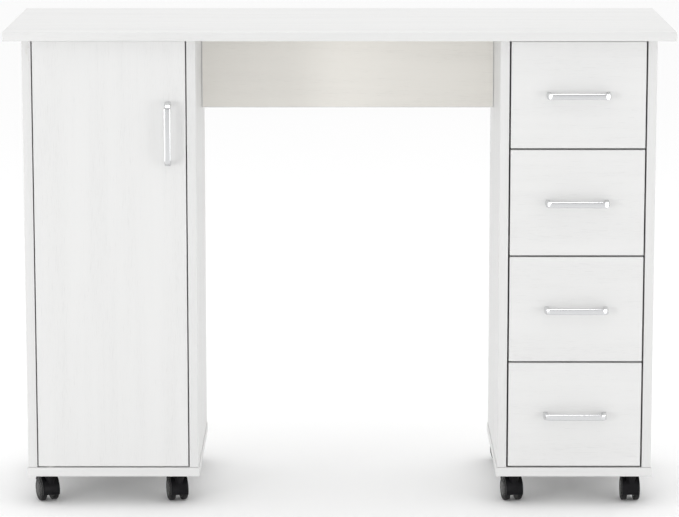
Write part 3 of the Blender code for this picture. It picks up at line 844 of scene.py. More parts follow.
    def pick_faces(self, test: FaceTest) -> int:
        """Selects faces, in edit mode.

        Args:
            test: A test of a face's middle and normal.

        Returns:
            How many faces pass it.
        """
        mesh = bmesh.from_edit_mesh(self.obj.data)
        chosen = [face for face in mesh.faces if test(face.calc_center_median(), face.normal)]
        for face in chosen:
            face.select_set(True)
        bmesh.update_edit_mesh(self.obj.data)
        return len(chosen)

    def pick_edges(self, test: EdgeTest) -> int:
        """Selects edges, in edit mode.

        Args:
            test: A test of an edge's middle and direction.

        Returns:
            How many edges pass it.
        """
        mesh = bmesh.from_edit_mesh(self.obj.data)
        chosen = []
        for edge in mesh.edges:
            first, second = (vertex.co for vertex in edge.verts)
            if test((first + second) / 2, (second - first).normalized()):
                chosen.append(edge)
        for edge in chosen:
            edge.select_set(True)
        bmesh.update_edit_mesh(self.obj.data)
        return len(chosen)

    def round_picked(self, test: EdgeTest, width: float, segments: int) -> "Workpiece":
        """Rounds the edges that pass a test.

        Args:
            test: A test of an edge's middle and direction.
            width: The rounding's width.
            segments: How many faces it has across.

        Returns:
            This piece.
        """
        with self.editing("EDGE"):
            if self.pick_edges(test):
                bpy.ops.mesh.bevel(
                    offset=width, segments=segments, affect="EDGES", clamp_overlap=True
                )
        return self

    def round_all(self, width: float, segments: int = 2, angle: float = 35.0) -> "Workpiece":
        """Rounds every sharp edge, with a Bevel modifier that is applied.

        Args:
            width: The rounding's width.
            segments: How many faces it has across.
            angle: The angle in degrees from which an edge is sharp.

        Returns:
            This piece.
        """
        modifier = self.obj.modifiers.new("round", "BEVEL")
        modifier.width = width
        modifier.segments = segments
        modifier.limit_method = "ANGLE"
        modifier.angle_limit = math.radians(angle)
        modifier.harden_normals = False
        return self._apply(modifier)

    def cut(self, tool: "Workpiece") -> "Workpiece":
        """Takes another piece's shape out of this one. The other is used up."""
        return self._combine(tool, "DIFFERENCE")

    def weld(self, tool: "Workpiece") -> "Workpiece":
        """Makes this piece and another one solid. The other is used up."""
        return self._combine(tool, "UNION")

    def _combine(self, tool: "Workpiece", operation: str) -> "Workpiece":
        """Applies a Boolean with another piece, then removes that piece."""
        modifier = self.obj.modifiers.new("combine", "BOOLEAN")
        modifier.operation = operation
        modifier.solver = "EXACT"
        modifier.object = tool.obj
        self._apply(modifier)
        tool.discard()
        return self

    def _apply(self, modifier: bpy.types.Modifier) -> "Workpiece":
        """Applies a modifier to the mesh."""
        set_down()
        bpy.context.view_layer.objects.active = self.obj
        self.obj.select_set(True)
        bpy.ops.object.modifier_apply(modifier=modifier.name)
        return self

    def discard(self) -> None:
        """Removes the piece and its mesh."""
        mesh = self.obj.data
        bpy.data.objects.remove(self.obj)
        bpy.data.meshes.remove(mesh)

    def copy(self, name: str, place: Matrix) -> "Workpiece":
        """A copy with its own mesh, moved in its mesh.

        Args:
            name: The copy's name.
            place: Where it goes.

        Returns:
            The copy.
        """
        mesh = self.obj.data.copy()
        mesh.name = name
        mesh.transform(place)
        obj = bpy.data.objects.new(name, mesh)
        bpy.context.collection.objects.link(obj)
        return Workpiece(obj)

    def gather(self, others: Sequence["Workpiece"]) -> "Workpiece":
        """Joins other pieces to this object, as separate bodies of one piece."""
        if not others:
            return self
        set_down()
        for other in others:
            other.obj.select_set(True)
        self.obj.select_set(True)
        bpy.context.view_layer.objects.active = self.obj
        bpy.ops.object.join()
        return self

    def finish(
        self, finish: Finish, body: str, smooth: float = 35.0, replaces: Sequence[str] = ()
    ) -> None:
        """Smooths the piece, dresses it if it isn't dressed yet, and hangs it on its body.

        Args:
            finish: What it is made of.
            body: The body that it rides on.
            smooth: Edges sharper than this angle in degrees stay sharp.
            replaces: The CAD nodes that it stands for.
        """
        set_down()
        bpy.context.view_layer.objects.active = self.obj
        self.obj.select_set(True)
        bpy.ops.object.shade_smooth_by_angle(angle=math.radians(smooth))
        if not self.obj.data.materials:
            self.obj.data.materials.append(finish.material())
        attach(self.obj, body)
        if replaces:
            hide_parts(*replaces)
        faces = len(self.obj.data.polygons)
        LOG.info("%s: %d faces, on %s, in %s", self.obj.name, faces, body, finish.name)


def finish_together(pieces: Sequence[Workpiece], name: str, finish: Finish, body: str) -> None:
    """Joins pieces into one object, names it, and hangs it on its body.

    Args:
        pieces: The pieces, at least one.
        name: The joined piece's name.
        finish: What it is made of.
        body: The body that it rides on.
    """
    joined = pieces[0].gather(pieces[1:])
    joined.obj.name = name
    joined.finish(finish, body)


def dress_node(node: str, finish: Finish) -> None:
    """Gives a CAD node that stays its own finish."""
    materials = FRAME["nodes"][node].data.materials
    materials.clear()
    materials.append(finish.material())
    LOG.info("%s: CAD node, in %s", node, finish.name)


# ---------------------------------------------------------------- boards


@dataclass
class Board:
    """A melamine board with rounded, banded edges and a hairline seam beside each band."""

    node: str
    body: str
    grain: Axis
    arris: float = 0.7 * MM
    band: float = 1.0 * MM
    seam: float = 0.10 * MM
    face: Finish | None = None
    tools: list[Callable[[], Workpiece]] = field(default_factory=list)

    def build(self) -> Workpiece:
        """Shapes the board in the CAD node's box and cuts its holes and grooves.

        Returns:
            The board.
        """
        low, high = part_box(self.node)
        size = high - low
        thin = min(range(3), key=lambda i: size[i])
        piece = Workpiece.block(f"{self.node}_board", low, high)
        with piece.editing("FACE"):
            bpy.ops.mesh.select_all(action="SELECT")
            bpy.ops.mesh.bevel(offset=self.arris, segments=3, affect="EDGES")
            bpy.ops.mesh.select_all(action="DESELECT")
            reach = 0.4 * size[thin]
            middle = (low + high) / 2
            piece.pick_faces(
                lambda centre, normal: abs(normal[thin]) > 0.99
                and abs(centre[thin] - middle[thin]) > reach
            )
            bpy.ops.mesh.inset(thickness=self.band - self.arris)
            bpy.ops.mesh.inset(thickness=self.seam, depth=-self.seam)
            bpy.ops.mesh.inset(thickness=self.seam, depth=self.seam)
        self._dress(piece, low, high, thin)
        for tool in self.tools:
            piece.cut(tool())
        return piece

    def _dress(self, piece: Workpiece, low: Vector, high: Vector, thin: int) -> None:
        """Laminate on the two faces, band on the rest, and a rim attribute on the rounded edges.

        Args:
            piece: The board.
            low: Its box's low corner.
            high: The high corner.
            thin: The axis along which it is thinnest.
        """
        mesh = piece.obj.data
        mesh.materials.append((self.face or BOARD_FINISH[self.grain]).material())
        mesh.materials.append(BAND_FINISH[self.grain].material())
        inner = self.band
        flat = [axis for axis in range(3) if axis != thin]
        for polygon in mesh.polygons:
            centre = polygon.center
            inside = all(low[a] + inner < centre[a] < high[a] - inner for a in flat)
            polygon.material_index = 0 if inside and abs(polygon.normal[thin]) > 0.99 else 1
        rim = mesh.attributes.new("rim", "FLOAT", "POINT")
        near = 1.05 * self.arris
        for vertex, value in zip(mesh.vertices, rim.data):
            close = sum(min(vertex.co[a] - low[a], high[a] - vertex.co[a]) < near for a in range(3))
            value.value = 1.0 if close >= 2 else 0.0

    def finish(self) -> None:
        """Builds the board and hangs it on its body, in place of its CAD node."""
        self.build().finish(BOARD_FINISH[self.grain], self.body, replaces=[self.node])


# ---------------------------------------------------------------- small fittings


@dataclass(frozen=True)
class CrossScrew:
    """A cross-recessed screw head, modelled once about the origin with its head towards +Z."""

    radius: float = 3.4 * MM
    height: float = 1.5 * MM
    crown: float = 0.7 * MM
    recess: float = 1.1 * MM
    slot: float = 0.75 * MM
    arm_share: float = 0.62

    def model(self, name: str) -> Workpiece:
        """The head: a cylinder with a crowned top and a cross-shaped recess."""
        head = Workpiece.rod(name, self.radius, Vector((0, 0, 0)), Vector((0, 0, self.height)), 24)
        head.round_picked(lambda centre, _: centre.z > 0.99 * self.height, self.crown, 4)
        arm = self.arm_share * self.radius
        for along in (Vector((arm, self.slot / 2, 0)), Vector((self.slot / 2, arm, 0))):
            low = Vector((-along.x, -along.y, self.height - self.recess))
            high = Vector((along.x, along.y, 2 * self.height))
            head.cut(Workpiece.block("cross", low, high))
        return head


class ScrewBox:
    """Hands out copies of one screw head, and joins those of one place into one piece."""

    twist = math.radians(37)

    def __init__(self, pattern: CrossScrew) -> None:
        """Models the head that is copied."""
        self.master = pattern.model("screw_master")

    def set_in(self, name: str, body: str, places: Sequence[tuple[Vector, Vector]]) -> None:
        """Sets screws with their heads standing on a surface.

        Args:
            name: The piece's name.
            body: The body that they ride on.
            places: Each screw's point on the surface, and the surface's outward direction.
        """
        copies = []
        for index, (point, outward) in enumerate(places):
            turn = outward.to_track_quat("Z", "Y").to_matrix().to_4x4()
            twist = Matrix.Rotation(self.twist * index, 4, "Z")
            place = Matrix.Translation(point) @ turn @ twist
            copies.append(self.master.copy(f"{name}_{index}", place))
        finish_together(copies, name, ZINC_FINISH, body)

    def close(self) -> None:
        """Removes the head that was copied."""
        self.master.discard()


@dataclass(frozen=True)
class CamCap:
    """The round plastic cap over a cam lock."""

    radius: float = 8.5 * MM
    shoulder: float = 8.245 * MM
    crown: float = 6.8 * MM
    height: float = 0.9 * MM
    shoulder_height: float = 0.54 * MM

    def model(self, spot: Vector, outward: Vector) -> Workpiece:
        """A cap that stands on a face.

        Args:
            spot: Its middle, on the face.
            outward: The face's direction.

        Returns:
            The cap.
        """
        profile = [
            (0.0, self.height),
            (self.crown, self.height),
            (self.shoulder, self.shoulder_height),
            (self.radius, 0.0),
            (0.0, 0.0),
        ]
        return Workpiece.turned("cap", profile, spot, outward, 28)


@dataclass(frozen=True)
class BowHandle:
    """The bow handle: a flat bar that turns back through round corners to two thick feet."""

    foot: float = 7.5 * MM
    bar: float = 4.2 * MM
    outer: float = 11.0 * MM
    inner: float = 7.0 * MM
    ease: float = 1.4 * MM

    def model(self, size: Vector) -> Workpiece:
        """The handle along X, with its feet on Y = 0 and its bar towards -Y.

        Args:
            size: Its length, projection and height.

        Returns:
            The handle, centred on X = 0 and Z = 0.
        """
        half, reach, tall = size.x / 2, size.y, size.z / 2
        piece = Workpiece.block("handle_master", (-half, -reach, -tall), (half, 0, tall))
        piece.round_picked(self._upright_at(-reach), self.outer, 12)
        gap = Workpiece.block(
            "finger_gap",
            (-half + self.foot, self.bar - reach, -size.z),
            (half - self.foot, reach, size.z),
        )
        gap.round_picked(self._upright_at(self.bar - reach), self.inner, 10)
        piece.cut(gap)
        piece.round_all(self.ease, 4, 30)
        return piece

    @staticmethod
    def _upright_at(y: float) -> EdgeTest:
        """A test for upright edges at one depth."""
        return lambda centre, along: abs(along.z) > 0.99 and abs(centre.y - y) < 1e-6


class Handles:
    """All five handles and the screws that hold them from inside."""

    pitch = 96 * MM

    def __init__(self, screws: ScrewBox) -> None:
        """Models the handle that is copied, at the size of the CAD ones."""
        low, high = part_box("drawer_1_handle")
        self.master = BowHandle().model(high - low)
        self.screws = screws

    def fit(self, node: str, body: str, along: Axis, inside: float) -> None:
        """Fits a handle in place of a CAD one, and its two screws.

        Args:
            node: The CAD handle.
            body: The body that it rides on.
            along: Which way it runs.
            inside: The depth of the face that the screw heads stand on.
        """
        low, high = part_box(node)
        middle = (low + high) / 2
        turn = Matrix.Rotation(math.pi / 2, 4, "Y") if along is Axis.Z else Matrix.Identity(4)
        place = Matrix.Translation((middle.x, high.y, middle.z)) @ turn
        self.master.copy(f"{node}_bow", place).finish(CHROME_FINISH[along], body, 30, [node])
        offsets = (-self.pitch / 2, self.pitch / 2)
        spots = [Vector((middle.x, inside, middle.z)) + along.vector * offset for offset in offsets]
        self.screws.set_in(f"{node}_screws", body, [(spot, Vector((0, 1, 0))) for spot in spots])

    def close(self) -> None:
        """Removes the handle that was copied."""
        self.master.discard()


# ---------------------------------------------------------------- carcasses


@dataclass
class Carcass:
    """The cabinet or the pedestal: its boards, its back and the fittings that join them."""

    name: str
    screws: ScrewBox
    cap: CamCap = CamCap()
    cap_from_end: float = 34.0 * MM
    cap_from_edge: float = 62.0 * MM
    groove_overrun: float = 50.0 * MM
    screw_shares: tuple[float, ...] = (0.22, 0.5, 0.78)

    def build(self, bottom_tools: Sequence[Callable[[], Workpiece]] = ()) -> None:
        """Builds every piece of the carcass."""
        back = f"{self.name}_back"
        dress_node(back, HARDBOARD_FINISH)
        for side in ("left", "right"):
            Board(f"{self.name}_side_{side}", "carcass", Axis.Z, tools=[self._groove]).finish()
        Board(f"{self.name}_bottom", "carcass", Axis.X, tools=list(bottom_tools)).finish()
        self._cam_caps()
        self._bottom_screws()

    def _groove(self) -> Workpiece:
        """A cutter for the grooves that hold the back."""
        low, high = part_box(f"{self.name}_back")
        margin = Vector((CLEAR, CLEAR, self.groove_overrun))
        return Workpiece.block("groove", low - margin, high + margin)

    def _cam_caps(self) -> None:
        """Round caps over the cam locks, near both ends of each side, on its inner face."""
        caps = []
        for side, sign in (("left", 1), ("right", -1)):
            low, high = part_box(f"{self.name}_side_{side}")
            face = high.x if sign > 0 else low.x
            for z in (low.z + self.cap_from_end, high.z - self.cap_from_end):
                for y in (low.y + self.cap_from_edge, high.y - self.cap_from_edge):
                    caps.append(self.cap.model(Vector((face, y, z)), Vector((sign, 0, 0))))
        finish_together(caps, f"{self.name}_cam_caps", WHITE_NYLON_FINISH, "carcass")

    def _bottom_screws(self) -> None:
        """Screws through the bottom into the sides."""
        low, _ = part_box(f"{self.name}_bottom")
        places = []
        for side in ("left", "right"):
            side_low, side_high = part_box(f"{self.name}_side_{side}")
            x = (side_low.x + side_high.x) / 2
            for share in self.screw_shares:
                y = side_low.y + share * (side_high.y - side_low.y)
                places.append((Vector((x, y, low.z)), Vector((0, 0, -1))))
        self.screws.set_in(f"{self.name}_bottom_screws", "carcass", places)


@dataclass
class Shelves:
    """The cabinet's two loose shelves and the pegs under them."""

    pin_radius: float = 2.4 * MM
    pin_reach: float = 7.0 * MM
    pin_nose: float = 0.8 * MM
    pin_start: float = 0.7 * MM
    pin_drop: float = 3.6 * MM
    paddle: float = 1.2 * MM
    paddle_half: float = 4.2 * MM
    paddle_start: float = 0.6 * MM
    paddle_end: float = 12.5 * MM
    paddle_air: float = 0.1 * MM
    peg_from_edge: float = 45.0 * MM

    def build(self) -> None:
        """Builds the shelves and four pegs under each."""
        for number in (1, 2):
            node = f"cabinet_shelf_{number}"
            Board(node, "carcass", Axis.X, arris=0.6 * MM).finish()
            low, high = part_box(node)
            pegs = []
            for x, sign in ((low.x, 1), (high.x, -1)):
                for y in (low.y + self.peg_from_edge, high.y - self.peg_from_edge):
                    pegs.append(self._peg(Vector((x, y, low.z)), sign))
            finish_together(pegs, f"{node}_pegs", ZINC_FINISH, "carcass")

    def _peg(self, corner: Vector, sign: int) -> Workpiece:
        """A peg: a round pin with a flange, and a flat tongue under the shelf.

        Args:
            corner: A point on the shelf's lower edge, over the peg.
            sign: Which way the shelf lies, along X.

        Returns:
            The peg.
        """
        root = corner - Vector((sign * self.pin_start, 0, self.paddle + self.pin_drop))
        axis = Vector((sign, 0, 0))
        profile = [
            (0.0, 0.0),
            (2.0 * self.pin_radius, 0.0),
            (2.0 * self.pin_radius, 1.0 * MM),
            (self.pin_radius, 1.2 * MM),
            (self.pin_radius, self.pin_reach),
            (0.6 * self.pin_radius, self.pin_reach + self.pin_nose),
            (0.0, self.pin_reach + self.pin_nose),
        ]
        peg = Workpiece.turned("peg", profile, root, axis, 24)
        half, air = self.paddle_half, self.paddle_air
        near = corner + Vector((sign * self.paddle_start, -half, -self.paddle - air))
        far = corner + Vector((sign * self.paddle_end, half, -air))
        tongue = Workpiece.block("tongue", Vector(map(min, near, far)), Vector(map(max, near, far)))
        tongue.round_picked(lambda _, along: abs(along.z) > 0.99, 2.4 * MM, 5)
        return peg.gather([tongue])


@dataclass
class ModestyPanel:
    """The cross panel under the worktop, with cam caps on its rear face."""

    cap: CamCap = CamCap(shoulder=8.2 * MM, shoulder_height=0.5 * MM)
    cap_inset: float = 34.0 * MM

    def build(self) -> None:
        """Builds the panel and its caps."""
        # Its face finish is painted light: brighter than the other boards to lift the shade under
        # the worktop, and warm for the warm reflected light there.
        Board("modesty_panel", "carcass", Axis.X, face=PANEL_PAINTED_LIGHT_FINISH).finish()
        low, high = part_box("modesty_panel")
        caps = []
        for x in (low.x + self.cap_inset, high.x - self.cap_inset):
            for z in (low.z + self.cap_inset, high.z - self.cap_inset):
                caps.append(self.cap.model(Vector((x, high.y, z)), Vector((0, 1, 0))))
        finish_together(caps, "modesty_panel_cam_caps", WHITE_NYLON_FINISH, "carcass")


# ---------------------------------------------------------------- door


@dataclass
class Door:
    """The door on its hidden pivot pins, with its bushes, its handle, and its magnetic catch."""

    handles: Handles
    screws: ScrewBox
    pin_hole: float = 2.8 * MM
    bush_seat: float = 4.8 * MM
    magnet_pocket: Sizes = (3.2 * MM, 4.0 * MM, 12.5 * MM)
    pole_half: Sizes = (0.6 * MM, 1.8 * MM, 12.1 * MM)
    pole_offset: float = 2.1 * MM
    catch_screw_spread: float = 16.5 * MM
    catch_screw_setback: float = 2.0 * MM

    def pivot(self) -> Vector:
        """A point on the door's axis."""
        low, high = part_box("door_pin_upper")
        return (low + high) / 2

    def bush_tool(self, node: str) -> Callable[[], Workpiece]:
        """A cutter for the seat of a bush."""
        return self._bore("bush_seat", self.bush_seat, node)

    def _pin_tool(self, node: str) -> Callable[[], Workpiece]:
        """A cutter for the hole of a pin."""
        return self._bore("pin_hole", self.pin_hole, node)

    def _bore(self, name: str, radius: float, node: str) -> Callable[[], Workpiece]:
        """A cutter about the door's axis, over the height of a CAD node.

        Args:
            name: The cutter's name.
            radius: Its radius.
            node: The CAD node.

        Returns:
            A function that makes the cutter.
        """

        def tool() -> Workpiece:
            """The cutter."""
            low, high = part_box(node)
            pivot = self.pivot()
            foot = Vector((pivot.x, pivot.y, low.z - CLEAR))
            return Workpiece.rod(name, radius, foot, Vector((pivot.x, pivot.y, high.z + CLEAR)))

        return tool

    def build(self) -> None:
        """Builds every piece of the door."""
        tools = [self._pin_tool(f"door_pin_{end}") for end in ("upper", "lower")]
        Board("door_panel", "door", Axis.Z, tools=tools).finish()
        for end in ("upper", "lower"):
            dress_node(f"door_pin_{end}", ZINC_FINISH)
            dress_node(f"door_bush_{end}", WHITE_NYLON_FINISH)
        _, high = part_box("door_panel")
        self.handles.fit("door_handle", "door", Axis.Z, high.y)
        self._catch()
        self._strike()

    def _catch(self) -> None:
        """The magnetic catch: a rounded body with a magnet between two steel plates."""
        low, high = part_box("door_catch")
        body = Workpiece.block("door_catch_body", low, high)
        body.round_picked(lambda centre, _: centre.x < high.x - MM, 1.2 * MM, 3)
        middle = (low + high) / 2
        half_x, deep, half_z = self.magnet_pocket
        pocket_low = Vector((middle.x - half_x, low.y - MM, middle.z - half_z))
        pocket_high = Vector((middle.x + half_x, low.y + deep, middle.z + half_z))
        body.cut(Workpiece.block("pocket", pocket_low, pocket_high))
        body.finish(WHITE_NYLON_FINISH, "carcass", replaces=["door_catch"])
        half = Vector(self.pole_half)
        poles = []
        for sign in (-1, 1):
            centre = Vector((middle.x + sign * self.pole_offset, low.y + 2.0 * MM, middle.z))
            pole = Workpiece.block("pole", centre - half, centre + half)
            poles.append(pole.round_all(0.2 * MM, 2))
        finish_together(poles, "door_catch_poles", ZINC_FINISH, "carcass")
        y = middle.y + self.catch_screw_setback
        heights = (middle.z - self.catch_screw_spread, middle.z + self.catch_screw_spread)
        places = [(Vector((low.x, y, z)), Vector((-1, 0, 0))) for z in heights]
        self.screws.set_in("door_catch_screws", "carcass", places)

    def _strike(self) -> None:
        """The strike plate on the door, with round ends."""
        low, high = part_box("door_strike")
        plate = Workpiece.block("door_strike_plate", low, high)
        plate.round_picked(lambda _, along: abs(along.y) > 0.99, 4.0 * MM, 8)
        plate.round_all(0.2 * MM, 2)
        plate.finish(ZINC_FINISH, "door", replaces=["door_strike"])


# ---------------------------------------------------------------- drawers


@dataclass
class Drawer:
    """A drawer: its front and handle, its wrap and bottom, and both halves of its two slides."""

    number: int
    handles: Handles
    screws: ScrewBox
    sheet: float = 1.1 * MM
    screw_spots: tuple[float, ...] = (37.0 * MM, 229.0 * MM)
    roller_radius: float = 5.6 * MM
    roller_width: float = 3.2 * MM
    front_roller_in: float = 5.5 * MM
    front_roller_back: float = 10.0 * MM
    rear_roller_in: float = 2.8 * MM
    rear_roller_forward: float = 9.0 * MM
    rear_roller_up: float = 9.0 * MM
    rail_ledge: float = 10.5 * MM
    rail_hook: float = 7.0 * MM
    wall: float = 12.0 * MM
    fold: float = 1.6 * MM
    top_round: float = 1.5 * MM

    @property
    def name(self) -> str:
        """The drawer's name, which is its body's too."""
        return f"drawer_{self.number}"

    def build(self) -> None:
        """Builds every piece of the drawer."""
        Board(f"{self.name}_front", self.name, Axis.X, tools=[self._groove_tool]).finish()
        self._wrap()
        dress_node(f"{self.name}_bottom", HARDBOARD_FINISH)
        _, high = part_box(f"{self.name}_front")
        self.handles.fit(f"{self.name}_handle", self.name, Axis.X, high.y)
        for side, sign in (("left", 1), ("right", -1)):
            self._cabinet_member(side, sign)
            self._drawer_member(side, sign)

    def _wrap(self) -> None:
        """The folded sides and back, with soft top edges, and a groove for the bottom."""
        node = f"{self.name}_wrap"
        low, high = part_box(node)
        wrap = Workpiece.block(f"{node}_sides", low, high)
        wrap.round_picked(
            lambda centre, along: abs(along.z) > 0.99 and centre.y > high.y - MM, self.fold, 4
        )
        room_low = Vector((low.x + self.wall, low.y - self.wall, low.z - self.wall))
        room_high = Vector((high.x - self.wall, high.y - self.wall, high.z + self.wall))
        room = Workpiece.block("room", room_low, room_high)
        room.round_picked(
            lambda centre, along: abs(along.z) > 0.99 and centre.y > room_high.y - MM,
            self.fold / 2,
            3,
        )
        wrap.cut(room).cut(self._groove_tool())
        wrap.round_picked(lambda centre, _: centre.z > high.z - 1e-5, self.top_round, 4)
        wrap.finish(WRAP_FINISH, self.name, replaces=[node])

    def _groove_tool(self) -> Workpiece:
        """A cutter for the grooves that hold the bottom, in the front and in the wrap."""
        low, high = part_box(f"{self.name}_bottom")
        margin = Vector((CLEAR, CLEAR, CLEAR))
        return Workpiece.block("groove", low - margin, high + margin)

    def _roller(self, centre: Vector, sign: int) -> Workpiece:
        """A nylon roller with a rounded rim, about a riveted pin.

        Args:
            centre: The roller's middle.
            sign: Which way the pin's head looks, along X.

        Returns:
            The roller.
        """
        half, radius = self.roller_width / 2, self.roller_radius
        profile = [
            (0.0, half + 0.4 * MM),
            (1.7 * MM, half + 0.4 * MM),
            (2.1 * MM, half),
            (radius - 0.8 * MM, half),
            (radius, half - 0.8 * MM),
            (radius, -half + 0.8 * MM),
            (radius - 0.8 * MM, -half),
            (0.0, -half),
        ]
        return Workpiece.turned("roller", profile, centre, Vector((sign, 0, 0)), 36)

    def _cabinet_member(self, side: str, sign: int) -> None:
        """The carcass half: the CAD channel, its front roller and its screws.

        Args:
            side: The slide's side, as in its name.
            sign: The direction into the pedestal, along X.
        """
        node = f"{self.name}_slide_{side}"
        dress_node(node, POWDER_FINISH)
        low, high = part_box(node)
        web = low.x if sign > 0 else high.x
        height = low.z + self.sheet + self.roller_radius + CLEAR
        centre = Vector((web + sign * self.front_roller_in, low.y + self.front_roller_back, height))
        roller = self._roller(centre, sign)
        roller.obj.name = f"{node}_front_roller"
        roller.finish(WHITE_NYLON_FINISH, "carcass")
        face = Vector((web + sign * 1.2 * MM, low.y, (low.z + high.z) / 2))
        spots = [face + Vector((0, along, 0)) for along in self.screw_spots]
        places = [(spot, Vector((sign, 0, 0))) for spot in spots]
        self.screws.set_in(f"{node}_screws", "carcass", places)

    def _drawer_member(self, side: str, sign: int) -> None:
        """The drawer half: a folded rail under and beside the wrap, with a roller at its rear.

        Args:
            side: The slide's side, as in its name.
            sign: The direction into the pedestal, along X.
        """
        slide_low, slide_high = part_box(f"{self.name}_slide_{side}")
        wrap_low, wrap_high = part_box(f"{self.name}_wrap")
        wall = (wrap_low.x if sign > 0 else wrap_high.x) - sign * CLEAR
        foot = wrap_low.z - CLEAR
        rail = slide_low.z + 2 * (self.roller_radius + CLEAR) + self.sheet + CLEAR
        hook = wall - sign * self.rail_hook
        ledge = wall + sign * self.rail_ledge
        sheet = self.sheet
        start = wrap_low.y + MM
        corners = [
            (ledge, foot),
            (ledge, foot - sheet),
            (wall - sign * sheet, foot - sheet),
            (wall - sign * sheet, rail),
            (hook, rail),
            (hook, rail + sheet),
            (wall, rail + sheet),
            (wall, foot),
        ]
        sweep = Vector((0, slide_high.y - start, 0))
        points = [Vector((x, start, z)) for x, z in corners]
        member = Workpiece.plate(f"{self.name}_rail_{side}", points, sweep)
        member.round_all(0.25 * MM, 2)
        member.finish(POWDER_FINISH, self.name)
        centre = Vector((
            hook + sign * self.rear_roller_in,
            slide_high.y - self.rear_roller_forward,
            slide_low.z + self.rear_roller_up,
        ))
        roller = self._roller(centre, -sign)
        roller.obj.name = f"{self.name}_rear_roller_{side}"
        roller.finish(WHITE_NYLON_FINISH, self.name)


# ---------------------------------------------------------------- casters


